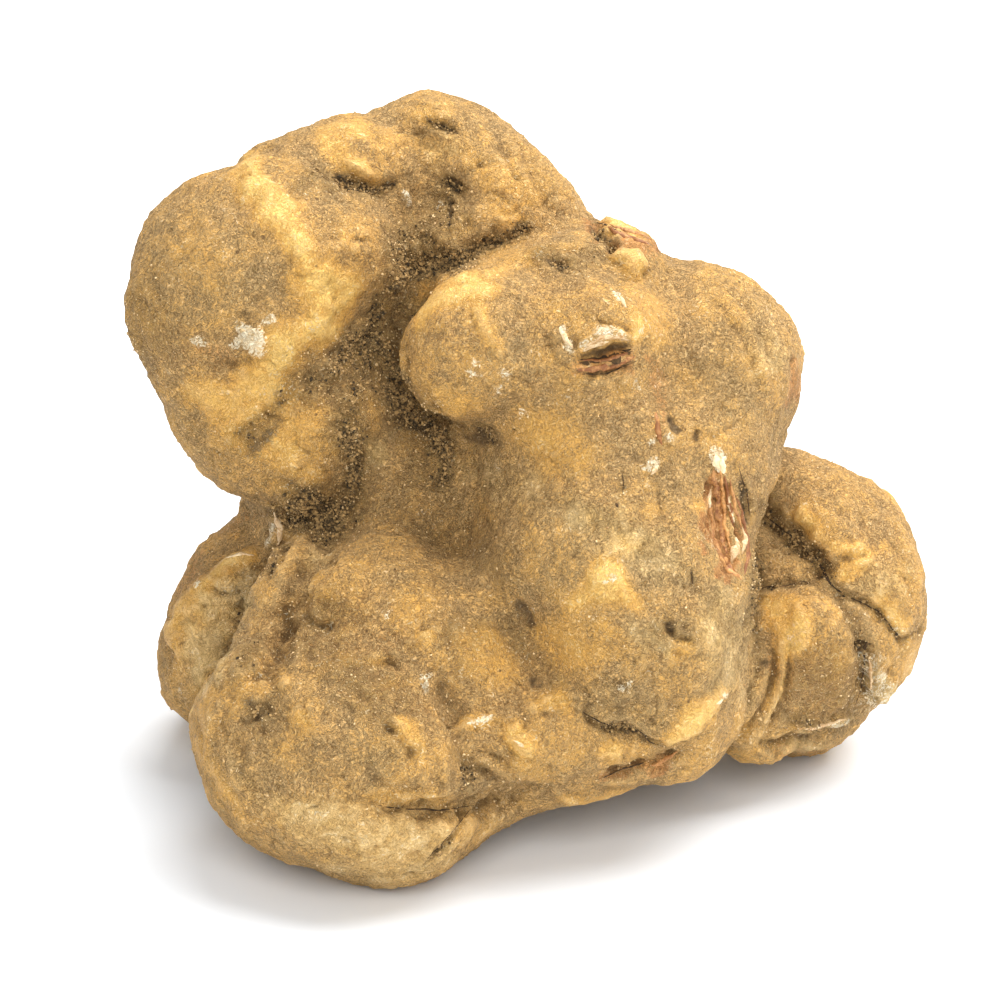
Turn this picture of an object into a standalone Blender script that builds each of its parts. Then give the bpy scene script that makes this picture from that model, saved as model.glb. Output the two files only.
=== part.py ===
"""A white truffle, just as it is dug up: one knobbly solid, resting on the feet of its lowest lobes.

The form is a smooth union of ellipsoid lobes, grouped in knots. Lobes of one knot flow into each
other, and knots meet in sharper creases. Folds and ridges are then drawn into the same field.
The lobes are laid out on a board that leans back, in millimetres: across to the right, up the
leaning board, and out of its face. The solid itself is in metres, standing on the plane z = 0.
"""

import math

import bmesh
import bpy
import numpy as np
from mathutils import Matrix

MM = 0.001

# Driving dimensions, in millimetres.
BOARD_LEAN = math.radians(25.0)
BOARD_HEIGHT = 29.2
BOARD_SHIFT = (-2.95, 2.0)
FIRST_VOXEL = 1.2
FINE_VOXEL = 0.85
LAST_VOXEL = 0.6
SOLID_TRIANGLES = 11000
SWELL_SEED = 7
SWELL_WAVES = 14
SWELL_LENGTHS = (8.0, 18.0)
SWELL_HEIGHT = 0.11

# A lobe is its centre, its half sizes (both across, up, out) and its roll in degrees,
# anticlockwise as seen from the front. A knot is a softness and the lobes or knots that it joins.
TRUFFLE = (0.7, {
    "body": (1.5, {
        "core": (2.0, {
            "heart": ((3.0, 3.0, -6.0), (18.0, 22.0, 13.0), 0),
            "throat": ((-9.0, -2.0, -2.0), (8.0, 8.5, 9.0), 0),
            "lining": ((-17.0, -1.5, -9.0), (9.0, 8.0, 9.0), 0),
        }),
        "shoulder": (2.0, {
            "upper": ((19.5, 13.5, 1.0), (10.6, 10.4, 12.0), 0),
            "lower": ((18.5, 3.0, 3.0), (8.3, 10.0, 12.0), 0),
        }),
        "belly": (2.0, {
            "right": ((15.3, -11.0, 8.0), (9.6, 16.0, 12.0), 0),
            "middle": ((7.0, -7.5, 9.0), (8.5, 13.0, 11.5), 0),
            "apron": ((9.5, 5.5, 8.3), (10.0, 10.0, 10.0), 0),
        }),
        "base": (1.4, {
            "low": ((5.8, -22.4, 8.5), (8.8, 7.3, 10.0), -8),
            "corner": ((17.0, -20.6, 6.0), (6.8, 5.8, 8.5), 18),
        }),
        "knob": (1.6, {
            "tip": ((-3.6, 14.6, 13.0), (5.9, 7.0, 7.0), 0),
            "bridge": ((9.8, 15.5, 12.0), (6.6, 6.6, 7.5), 0),
            "root": ((4.0, 15.5, 8.5), (11.5, 7.2, 10.3), 3),
        }),
        "foot": (1.8, {
            "knee": ((-12.3, -12.2, 9.0), (8.7, 9.2, 9.3), 0),
            "rim": ((-19.3, -13.5, 5.0), (5.6, 9.7, 8.5), 0),
            "thigh": ((-5.0, -16.0, 10.5), (8.0, 9.0, 8.0), 0),
            "left_sole": ((-21.4, -23.2, 11.0), (9.2, 9.8, 10.5), 0),
            "middle_sole": ((-15.5, -26.0, 13.0), (9.8, 10.6, 11.0), 0),
            "right_sole": ((-10.3, -26.6, 13.0), (10.3, 11.0, 11.0), 0),
            "toe": ((-3.0, -26.0, 9.0), (8.3, 6.2, 8.5), 12),
        }),
    }),
    "head": (1.6, {
        "cheek": ((-25.6, 20.0, 1.0), (11.8, 13.6, 12.0), 0),
        "chin": ((-22.9, 8.4, 0.0), (9.2, 8.6, 9.0), 0),
        "jaw": ((-16.3, 6.3, -0.5), (7.4, 7.2, 8.5), 0),
        "brow": ((-18.0, 25.5, 1.5), (7.5, 7.5, 9.0), 0),
        "neck": ((-12.0, 18.0, -5.5), (8.0, 12.0, 9.0), 0),
    }),
    "crown": (1.3, {
        "left": ((-16.3, 31.0, -6.0), (11.3, 7.5, 10.0), 13),
        "top": ((-7.0, 37.0, -7.0), (5.6, 4.1, 6.5), 0),
        "right": ((0.8, 29.5, -6.0), (6.6, 12.3, 9.0), 42),
        "slope": ((-1.0, 26.0, -2.0), (8.0, 5.0, 7.0), 0),
    }),
    "ledge": (1.2, {
        "shelf": ((4.0, 22.6, 3.0), (11.5, 3.6, 8.5), 14),
        "bead": ((13.3, 22.6, 7.0), (3.0, 2.8, 4.0), 0),
        "crest": ((12.0, 24.7, -1.0), (5.0, 1.9, 4.5), -24),
    }),
    "heel": (1.0, {
        "pad": ((-26.0, -16.7, -16.6), (6.8, 7.5, 8.0), 0),
        "back": ((-26.4, -12.7, -10.0), (7.8, 11.4, 9.0), -26),
    }),
    "hip": (1.5, {
        "lip": ((29.2, -18.6, -12.2), (5.2, 6.8, 8.0), 0),
        "pleat": ((25.6, -19.8, -2.5), (5.6, 6.6, 7.0), 0),
        "link": ((27.0, -1.7, -11.0), (7.5, 8.2, 9.0), 0),
        "upper": ((32.3, -6.3, -9.0), (8.8, 8.8, 11.0), 0),
        "outer": ((35.4, -11.4, -9.0), (7.9, 9.4, 10.0), 0),
        "inner": ((30.0, -13.5, -2.0), (6.3, 7.6, 7.0), 0),
        "lower": ((29.7, -18.0, -9.0), (7.4, 6.6, 8.0), 0),
    }),
    "rear": (0.9, {
        "rump": ((10.5, -4.0, -19.0), (13.0, 11.5, 12.0), 20),
        "hump": ((-7.0, 9.5, -17.5), (12.0, 11.0, 12.0), -15),
        "saddle": ((13.5, 13.5, -14.0), (10.0, 9.5, 10.0), 0),
        "pole": ((1.0, 23.0, -13.0), (9.0, 8.0, 9.0), 0),
        "seat": ((8.0, -15.5, -21.0), (9.5, 8.0, 8.5), 0),
        "tail": ((-8.0, -9.5, -20.0), (10.5, 9.5, 10.0), 0),
        "spur": ((-20.0, -11.0, -15.0), (7.0, 9.0, 8.0), 0),
        "button": ((2.5, 3.0, -27.5), (6.0, 5.5, 5.5), 0),
    }),
})

# A fold is how deep it goes in (negative stands out), how wide it is, and its course. It fades out
# towards the ends of its course. Distances count less out of the board than along it, so that
# a course only has to lie near the skin.
OUT_SHARE = 0.4
FOLDS = {
    "valley": (2.2, 2.6, [(-4, 21.5, 4), (-10.5, 17.5, 3), (-11, 13.5, 3), (-8.5, 9, 4), (-5.5, 5, 5), (-4.5, 2, 8)]),
    "valley_head": (0.6, 2.0, [(9, 28.5, -3), (5, 26.5, 0), (1, 26.3, 1), (-3, 23.5, 2), (-8, 21, 3)]),
    "chin": (1.1, 2.3, [(-9.5, 14, 4), (-15, 13.3, 8), (-19, 12.5, 10), (-28, 12.5, 8)]),
    "chin_edge": (2.0, 2.0, [(-13.5, 8, 6), (-14.5, 1, 6), (-16.5, -4.5, 3)]),
    "brow": (1.2, 1.5, [(-23, 33.5, -2), (-18, 32, 2), (-10, 30.5, 3)]),
    "crown": (1.0, 1.5, [(-12, 39, -3), (-8, 36, 0), (-3.5, 32.5, 1)]),
    "cheek_ridge": (-0.8, 3.0, [(-27, 35, 1), (-20, 27, 9), (-17, 20, 10), (-19, 15, 10), (-27, 8, 9)]),
    "knob_back": (0.6, 1.8, [(-3, 20.5, 12), (4, 21.5, 13), (13, 20, 12)]),
    "knob_end": (0.8, 1.8, [(16.5, 24, 6), (17, 18, 11), (16.5, 12, 14), (14.5, 6, 16)]),
    "foot_rim": (1.3, 2.0, [(-12.5, -2, 8), (-16, -4.5, 9), (-19, -7.5, 12), (-20.3, -12, 13), (-20, -20, 17)]),
    "groin": (1.3, 3.4, [(-3, -5.5, 13), (0, -9, 15), (4, -13.5, 17), (7, -17.5, 17), (11, -20, 17)]),
    "thigh": (1.2, 2.2, [(-7.5, -16.5, 20), (-4.5, -22, 20), (-2, -27, 18), (1, -31, 14)]),
    "sole": (1.5, 1.5, [(-16, -25.5, 23), (-11, -28, 23), (-6, -29, 21), (-1, -29.3, 17), (6, -28.5, 10)]),
    "sole_roll": (-0.7, 2.6, [(-18, -22, 22), (-11, -25, 23), (-6, -26.2, 22), (0, -26.5, 17)]),
    "base": (1.0, 1.4, [(3, -28.5, 12), (9, -26.8, 14), (15, -25.2, 13), (21, -22.5, 10)]),
    "belly": (0.8, 2.0, [(7, -19, 18), (12, -20.5, 18), (17, -24, 15)]),
    "heel": (-0.7, 2.2, [(-18, 1, -5), (-24, -5, -2), (-29, -11, -1), (-34, -17, -4)]),
    "hip": (1.8, 1.9, [(22, 3.5, -3), (27, -1, 0), (30, -4, 1), (33, -8, 1), (35, -10.2, 1), (42, -14, -5)]),
    "hip_branch": (1.3, 1.6, [(23, -12, 7), (27, -9.5, 4), (33, -7, 1)]),
    "hip_slot": (1.2, 1.3, [(35.5, -11, 0), (36.3, -16, -1), (36, -23, -5)]),
    "hip_pleat": (1.2, 1.3, [(26.4, -11, 6), (26.8, -18, 4), (27, -27, -2)]),
    "second_pleat": (0.8, 1.0, [(28.9, -12, 5), (29, -18, 4), (28.5, -25, -1)]),
}

# A dent is how deep it goes in (negative is a bump), how wide it is, and its centre.
DENTS = {
    "crown": (1.2, 2.6, (-5.5, 29.8, 3)),
    "crest": (1.0, 1.2, (10.2, 25.3, 3)),
    "tip": (1.5, 1.8, (-2, 6.3, 16)),
    "groin": (0.9, 1.8, (2.3, -11.5, 17)),
    "knee": (0.7, 3.2, (-15.5, -11.5, 17)),
    "sole": (0.7, 3.2, (-23, -21, 19)),
    "foot": (0.8, 2.2, (-5.5, -18.8, 20)),
    "hip": (0.8, 2.4, (30.5, -19.5, 0)),
    "thigh_bump": (-0.7, 3.2, (-7.8, -14, 19)),
    "second_bump": (-0.6, 2.8, (-2.7, -16.8, 19)),
    "belly_bump": (-0.8, 4.0, (10.5, -7.4, 20)),
    "base_bump": (-0.6, 3.6, (3, -23.5, 17)),
    "corner_bump": (-0.6, 3.0, (19.5, -20.5, 15)),
    "shoulder_bump": (-0.6, 4.0, (25, 12, 7)),
}


def is_lobe(item):
    return len(item) == 3


def all_lobes(knot):
    """Every lobe of a knot and of the knots inside it."""
    found = []
    for item in knot[1].values():
        found += [item] if is_lobe(item) else all_lobes(item)
    return found


def board_to_world():
    """The board's axes and place, as a matrix from its millimetres to the world's metres."""
    lean = Matrix.Rotation(-BOARD_LEAN, 4, "X")
    stand = Matrix(((1, 0, 0, 0), (0, 0, -1, 0), (0, 1, 0, 0), (0, 0, 0, 1)))
    place = Matrix.Translation((BOARD_SHIFT[0], BOARD_SHIFT[1], BOARD_HEIGHT))
    return Matrix.Scale(MM, 4) @ place @ lean @ stand


def lobe_distance(points, centre, half, roll):
    """How far each point is from an ellipsoid, nearly exact close to it. Negative is inside."""
    turn = math.radians(roll)
    local = points - np.array(centre)
    across = local[:, 0] * math.cos(turn) + local[:, 1] * math.sin(turn)
    up = -local[:, 0] * math.sin(turn) + local[:, 1] * math.cos(turn)
    shape = np.stack([across, up, local[:, 2]], axis=1) / np.array(half)
    depth = np.linalg.norm(shape, axis=1)
    slope = np.linalg.norm(shape / np.array(half), axis=1)
    return depth * (depth - 1) / np.maximum(slope, 1e-9)


def knot_distance(points, knot):
    """The smooth union of a knot's lobes and of the knots inside it."""
    softness, items = knot
    distances = [
        lobe_distance(points, *item) if is_lobe(item) else knot_distance(points, item)
        for item in items.values()
    ]
    nearest = np.min(distances, axis=0)
    total = sum(np.exp((nearest - distance) / softness) for distance in distances)
    return nearest - softness * np.log(total)


def spans(points, centre):
    """How far each point is from a centre, counting less out of the board."""
    return np.linalg.norm((points - np.array(centre)) * (1.0, 1.0, OUT_SHARE), axis=1)


def fold_depth(points, depth, width, course):
    """How deep a fold goes in at each point."""
    share = np.array([1.0, 1.0, OUT_SHARE])
    away = np.full(len(points), np.inf)
    for start, end in zip(course[:-1], course[1:]):
        run = (np.array(end) - start) * share
        along = np.clip((points - start) * share @ run / (run @ run), 0.0, 1.0)
        beside = np.linalg.norm((points - start) * share - along[:, None] * run, axis=1)
        away = np.minimum(away, beside)
    tail = np.minimum(spans(points, course[0]), spans(points, course[-1]))
    fade = 1 - np.exp(-((tail / (2 * width)) ** 2))
    return depth * fade * np.exp(-((away / width) ** 2))


def dent_depth(points, depth, width, centre):
    """How deep a dent goes in at each point."""
    return depth * np.exp(-((spans(points, centre) / width) ** 2))


def swells():
    """The slow waves of an uneven skin: their wave vectors and phases."""
    chance = np.random.default_rng(SWELL_SEED)
    ways = chance.normal(size=(SWELL_WAVES, 3))
    ways /= np.linalg.norm(ways, axis=1, keepdims=True)
    lengths = chance.uniform(*SWELL_LENGTHS, size=(SWELL_WAVES, 1))
    return ways * 2 * math.pi / lengths, chance.uniform(0, 2 * math.pi, SWELL_WAVES)


def field(points):
    """Distance to the truffle's skin at each point of the board's space, in millimetres."""
    distance = knot_distance(points, TRUFFLE)
    waves, phases = swells()
    distance = distance + SWELL_HEIGHT * np.sin(points @ waves.T + phases).sum(axis=1)
    for fold in FOLDS.values():
        distance = distance + fold_depth(points, *fold)
    for dent in DENTS.values():
        distance = distance + dent_depth(points, *dent)
    return distance


def gradient(points, here, step=0.05):
    """The field's slope at each point."""
    slope = np.empty_like(points)
    for axis in range(3):
        moved = points.copy()
        moved[:, axis] += step
        slope[:, axis] = (field(moved) - here) / step
    return slope


def settle(points, rounds):
    """Moves points along the slope of the field until they lie on the skin."""
    for _ in range(rounds):
        here = field(points)
        slope = gradient(points, here)
        steep = np.maximum((slope**2).sum(axis=1), 0.2)
        points = points - slope * (here / steep)[:, None]
    return points


def lobe_cluster():
    """All the lobes as overlapping ellipsoids in one mesh, in the board's space."""
    cluster = bmesh.new()
    for centre, half, roll in all_lobes(TRUFFLE):
        place = Matrix.Translation(centre) @ Matrix.Rotation(math.radians(roll), 4, "Z")
        bmesh.ops.create_icosphere(
            cluster, subdivisions=4, radius=1.0, matrix=place @ Matrix.Diagonal((*half, 1.0))
        )
    mesh = bpy.data.meshes.new("lobe_cluster")
    cluster.to_mesh(mesh)
    cluster.free()
    return mesh


def evaluated(mesh, kind, **settings):
    """A copy of the mesh with one modifier applied."""
    helper = bpy.data.objects.new("helper", mesh)
    bpy.context.scene.collection.objects.link(helper)
    modifier = helper.modifiers.new(kind.title(), kind)
    for name, value in settings.items():
        setattr(modifier, name, value)
    graph = bpy.context.evaluated_depsgraph_get()
    made = bpy.data.meshes.new_from_object(helper.evaluated_get(graph))
    bpy.data.objects.remove(helper)
    return made


def positions(mesh):
    flat = np.empty(len(mesh.vertices) * 3, np.float32)
    mesh.vertices.foreach_get("co", flat)
    return flat.reshape(-1, 3).astype(float)


def skin():
    """The lobes fused into one closed skin, every point of it settled on the field."""
    mesh = lobe_cluster()
    for voxel in (FIRST_VOXEL, FINE_VOXEL):
        mesh = evaluated(mesh, "REMESH", mode="VOXEL", voxel_size=voxel)
        mesh.vertices.foreach_set("co", settle(positions(mesh), 4).astype(np.float32).ravel())
        mesh.update()
    return evaluated(mesh, "REMESH", mode="VOXEL", voxel_size=LAST_VOXEL)


def standing(mesh):
    """The skin moved to the world and cut flat where its lowest lobes press on the table."""
    mesh.transform(board_to_world())
    shape = bmesh.new()
    shape.from_mesh(mesh)
    everything = shape.verts[:] + shape.edges[:] + shape.faces[:]
    cut = bmesh.ops.bisect_plane(
        shape, geom=everything, dist=1e-7, plane_co=(0, 0, 0), plane_no=(0, 0, -1), clear_outer=True
    )
    rims = [part for part in cut["geom_cut"] if isinstance(part, bmesh.types.BMEdge)]
    bmesh.ops.holes_fill(shape, edges=rims, sides=0)
    bmesh.ops.recalc_face_normals(shape, faces=shape.faces[:])
    shape.to_mesh(mesh)
    shape.free()
    return mesh


def skin_material():
    material = bpy.data.materials.new("truffle_skin")
    material.use_nodes = True
    surface = material.node_tree.nodes["Principled BSDF"]
    surface.inputs["Base Color"].default_value = (0.50, 0.33, 0.13, 1.0)
    surface.inputs["Roughness"].default_value = 0.75
    surface.inputs["Metallic"].default_value = 0.0
    return material


def main():
    for obj in list(bpy.data.objects):
        bpy.data.objects.remove(obj)
    whole = skin()
    triangles = 2 * len(whole.polygons)
    whole = evaluated(whole, "DECIMATE", decimate_type="COLLAPSE", ratio=SOLID_TRIANGLES / triangles)
    mesh = standing(whole)
    mesh.shade_smooth()
    mesh.materials.append(skin_material())
    truffle = bpy.data.objects.new("truffle", mesh)
    bpy.context.scene.collection.objects.link(truffle)


main()
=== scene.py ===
"""The look of a white truffle: one knobbly lump, ochre where it is rubbed and tan under a film of
soil, with dark soil and sand in its creases, an old torn slot, a scar and many fine marks.

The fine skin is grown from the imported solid's own mesh. Marks on its front are laid out as they are
seen from the front, in millimetres across and up a board that leans back through the lump.
Lengths are in millimetres. Times MM they are in metres, as the scene has them.
"""

import math

import bpy
import numpy as np
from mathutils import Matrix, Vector
from mathutils.bvhtree import BVHTree
from mathutils.kdtree import KDTree


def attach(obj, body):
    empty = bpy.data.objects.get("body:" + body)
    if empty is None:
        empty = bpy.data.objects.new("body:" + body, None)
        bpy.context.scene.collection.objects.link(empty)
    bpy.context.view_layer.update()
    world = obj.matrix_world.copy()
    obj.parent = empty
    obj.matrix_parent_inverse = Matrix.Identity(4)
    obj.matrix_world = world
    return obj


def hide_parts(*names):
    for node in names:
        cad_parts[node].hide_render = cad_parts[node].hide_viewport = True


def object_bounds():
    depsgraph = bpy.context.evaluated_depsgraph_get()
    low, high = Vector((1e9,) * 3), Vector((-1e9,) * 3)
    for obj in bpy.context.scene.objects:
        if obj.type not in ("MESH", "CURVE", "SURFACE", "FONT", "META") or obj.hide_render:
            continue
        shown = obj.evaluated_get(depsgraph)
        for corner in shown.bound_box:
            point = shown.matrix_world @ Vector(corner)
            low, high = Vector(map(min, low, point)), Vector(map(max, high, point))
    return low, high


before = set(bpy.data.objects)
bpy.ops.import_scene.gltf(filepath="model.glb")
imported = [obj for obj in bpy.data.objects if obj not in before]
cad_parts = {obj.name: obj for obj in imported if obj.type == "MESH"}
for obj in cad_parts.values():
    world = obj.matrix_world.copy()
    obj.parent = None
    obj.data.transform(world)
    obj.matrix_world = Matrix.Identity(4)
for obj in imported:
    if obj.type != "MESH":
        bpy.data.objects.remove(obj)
cad_low, cad_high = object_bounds()

NODE = "truffle"
MM = 0.001

# The board: how far it leans back, its middle beside and behind the middle of the lump's footprint
# and above the floor, and how far off the eye is that looks at it.
LEAN = math.radians(25.0)
SIGHT_SHIFT = (-2.95, 2.0)
SIGHT_HEIGHT = 29.2
EYE_DISTANCE = 700.0

# The board again, in the world's axes: its middle, its across, up and out directions, and the eye.
board_middle = np.array([
    (cad_low[0] + cad_high[0]) / 2 / MM + SIGHT_SHIFT[0],
    (cad_low[1] + cad_high[1]) / 2 / MM + SIGHT_SHIFT[1],
    cad_low[2] / MM + SIGHT_HEIGHT,
])
board_across = np.array([1.0, 0.0, 0.0])
board_up = np.array([0.0, math.sin(LEAN), math.cos(LEAN)])
board_out = np.array([0.0, -math.cos(LEAN), math.sin(LEAN)])
eye = board_middle + board_out * EYE_DISTANCE

# The draws are seeded, so each run makes the same truffle.
chance = np.random.default_rng(seed=417)


# ---------------------------------------------------------------- numbers in space

GRADIENTS = np.random.default_rng(seed=5).normal(size=(256, 3))
GRADIENTS /= np.linalg.norm(GRADIENTS, axis=1, keepdims=True)

CELL_PRIMES = np.array([73856093, 19349663, 83492791])
SEED_PRIME = 2654435761
MIXING_PRIME = 1274126177
HASH_BITS = 0x7FFFFFFF

SEED_SHIFT = 7.31  # cells, from one seed's noise to the next
NOISE_GAIN = 1.6  # brings the noise to about -1 to 1

# A pebble's middle keeps off the sides of its cell and has the rest of it to lie in, in cells. It
# fades out at this distance squared.
PEBBLE_MARGIN, PEBBLE_ROOM = 0.15, 0.7
PEBBLE_REACH = 0.6


def smooth(low, high, value):
    """0 below low, 1 above high, and a soft step between."""
    t = np.clip((value - low) / (high - low), 0.0, 1.0)
    return t * t * (3 - 2 * t)


def tapered(share, end):
    """1 halfway along a line, and near 0 at its two ends, where share is 0 or 1."""
    return np.sqrt(np.sin(math.pi * np.clip(share, end, 1 - end)))


def cell_hash(cells, seed):
    """A steady random whole number from 0 to 255 for each cell."""
    mixed = np.bitwise_xor.reduce(cells * CELL_PRIMES, axis=1)
    mixed = (mixed ^ seed * SEED_PRIME) & HASH_BITS
    mixed = (mixed ^ (mixed >> 13)) * MIXING_PRIME & HASH_BITS
    return (mixed ^ (mixed >> 16)) & 255


def noise(points, size, seed):
    """Gradient noise with features of about one size, from about -1 to 1."""
    scaled = points / size + seed * SEED_SHIFT
    cells = np.floor(scaled).astype(np.int64)
    inside = scaled - cells
    ease = inside**3 * (inside * (inside * 6 - 15) + 10)
    total = np.zeros(len(points))
    for corner in np.ndindex(2, 2, 2):
        step = np.array(corner)
        gradient = GRADIENTS[cell_hash(cells + step, seed)]
        weight = np.prod(np.where(step, ease, 1 - ease), axis=1)
        total += weight * ((inside - step) * gradient).sum(axis=1)
    return total * NOISE_GAIN


def layered(points, size, seed, octaves=3):
    """Noise of several sizes, each half as large and half as strong as the last."""
    total = sum(noise(points, size / 2**k, seed + k) / 2**k for k in range(octaves))
    return total / (2 - 0.5 ** (octaves - 1))


def pebbles(points, size, seed):
    """How near each point is to the middle of its own random pebble: 1 at the middle, 0 between."""
    scaled = points / size
    cells = np.floor(scaled).astype(np.int64)
    nearest = np.full(len(points), np.inf)
    for corner in np.ndindex(3, 3, 3):
        cell = cells + np.array(corner) - 1
        jitter = np.stack([cell_hash(cell, seed + k) for k in range(3)], axis=1) / 255.0
        away = ((cell + PEBBLE_MARGIN + PEBBLE_ROOM * jitter - scaled) ** 2).sum(axis=1)
        nearest = np.minimum(nearest, away)
    return np.clip(1 - nearest / PEBBLE_REACH, 0.0, 1.0)


# ---------------------------------------------------------------- meshes

def placed(name, data):
    """A new object for the data, in the scene."""
    thing = bpy.data.objects.new(name, data)
    bpy.context.scene.collection.objects.link(thing)
    return thing


def made_with(mesh, name, kind, **settings):
    """A copy of the mesh with one modifier applied."""
    helper = placed(name, mesh)
    modifier = helper.modifiers.new(kind.title(), kind)
    for key, value in settings.items():
        setattr(modifier, key, value)
    made = bpy.data.meshes.new_from_object(
        helper.evaluated_get(bpy.context.evaluated_depsgraph_get())
    )
    bpy.data.objects.remove(helper)
    made.name = name
    return made


def read(items, name, width, kind=np.float32):
    """A row of numbers from each of a mesh's items."""
    flat = np.empty(len(items) * width, kind)
    items.foreach_get(name, flat)
    return flat.reshape(-1, width)


def positions(mesh):
    return read(mesh.vertices, "co", 3).astype(float) / MM


def normals(mesh):
    return read(mesh.vertex_normals, "vector", 3).astype(float)


def edge_ends(mesh):
    return read(mesh.edges, "vertices", 2, np.int32)


def put(mesh, points):
    """Moves the mesh's points to new places."""
    mesh.vertices.foreach_set("co", (points * MM).astype(np.float32).ravel())
    mesh.update()


def surface(mesh):
    """The mesh as a surface that rays can be cast at."""
    return BVHTree.FromPolygons(
        [v.co / MM for v in mesh.vertices], [tuple(p.vertices) for p in mesh.polygons]
    )


def shade_smooth(mesh):
    mesh.polygons.foreach_set("use_smooth", np.ones(len(mesh.polygons), bool))


def add_layer(mesh, name, values):
    """Keeps a value for each of the mesh's points, which its material can read."""
    layer = mesh.attributes.new(name, "FLOAT", "POINT")
    layer.data.foreach_set("value", values.astype(np.float32))


def read_layer(mesh, name):
    return read(mesh.attributes[name].data, "value", 1)[:, 0].astype(float)


def relaxed(values, ends, rounds, share=0.5):
    """Values on the points, each moved towards the mean of its neighbours, again and again."""
    count = len(values)
    valence = np.bincount(ends.ravel(), minlength=count)
    columns = values.reshape(count, -1).copy()
    for _ in range(rounds):
        for one in columns.T:
            total = np.bincount(ends[:, 0], one[ends[:, 1]], count)
            total += np.bincount(ends[:, 1], one[ends[:, 0]], count)
            one += share * (total / valence - one)
    return columns.reshape(values.shape)


def relaxed_row(values, rounds):
    """Values along a line, each drawn toward its two neighbours."""
    for _ in range(rounds):
        values = np.concatenate([
            values[:1], (values[:-2] + 2 * values[1:-1] + values[2:]) / 4, values[-1:]
        ])
    return values


def carried(source_points, values, points, count=4, softness=0.2):
    """Values on the source's points, blended onto other points from the few nearest."""
    tree = KDTree(len(source_points))
    for index, point in enumerate(source_points):
        tree.insert(point, index)
    tree.balance()
    result = np.empty(len(points))
    for index, point in enumerate(points):
        near = tree.find_n(point, count)
        weights = [1 / (distance + softness) ** 2 for _, _, distance in near]
        result[index] = sum(w * values[k] for w, (_, k, _) in zip(weights, near)) / sum(weights)
    return result


# ---------------------------------------------------------------- lines on the board

def polyline_distance(across, up, points):
    """Each place's distance from a line through the points, how far along it is from 0 to 1, and
    1 on the line's left or -1 on its right."""
    best = np.full(len(across), np.inf)
    share = np.full(len(across), 0.5)
    side = np.ones(len(across))
    if len(points) == 1:
        return np.hypot(across - points[0][0], up - points[0][1]), share, side
    lengths = [math.dist(first, second) for first, second in zip(points, points[1:])]
    run = 0.0
    for (x0, y0), (x1, y1), length in zip(points, points[1:], lengths):
        dx, dy = x1 - x0, y1 - y0
        along = np.clip(((across - x0) * dx + (up - y0) * dy) / (dx * dx + dy * dy), 0, 1)
        distance = np.hypot(across - x0 - along * dx, up - y0 - along * dy)
        nearer = distance < best
        best[nearer] = distance[nearer]
        share[nearer] = (run + along[nearer] * length) / sum(lengths)
        side[nearer] = np.sign(dx * (up - y0) - dy * (across - x0))[nearer]
        run += length
    return best, share, side


def near_line(line, width, drift, reach, board):
    """The places within reach of a line, which wavers by a share of its half width up to a limit:
    which places they are, how uneven each one is, and its polyline_distance."""
    across, up, warp = board
    shift = min(drift[0] * width, drift[1])
    low, high = np.min(line, axis=0) - reach, np.max(line, axis=0) + reach
    near = np.flatnonzero(
        (across > low[0]) & (across < high[0]) & (up > low[1]) & (up < high[1])
    )
    shifted = across[near] + shift * warp[0][near], up[near] + shift * warp[1][near]
    return near, warp[2][near], *polyline_distance(*shifted, line)


# ---------------------------------------------------------------- what the front shows
# Each stroke: half width in mm, strength, softness of its edge from 0 to 1, and its line as
# (across, up) in mm on the board. Where strokes of a kind cross, the strongest
# counts.

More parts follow.
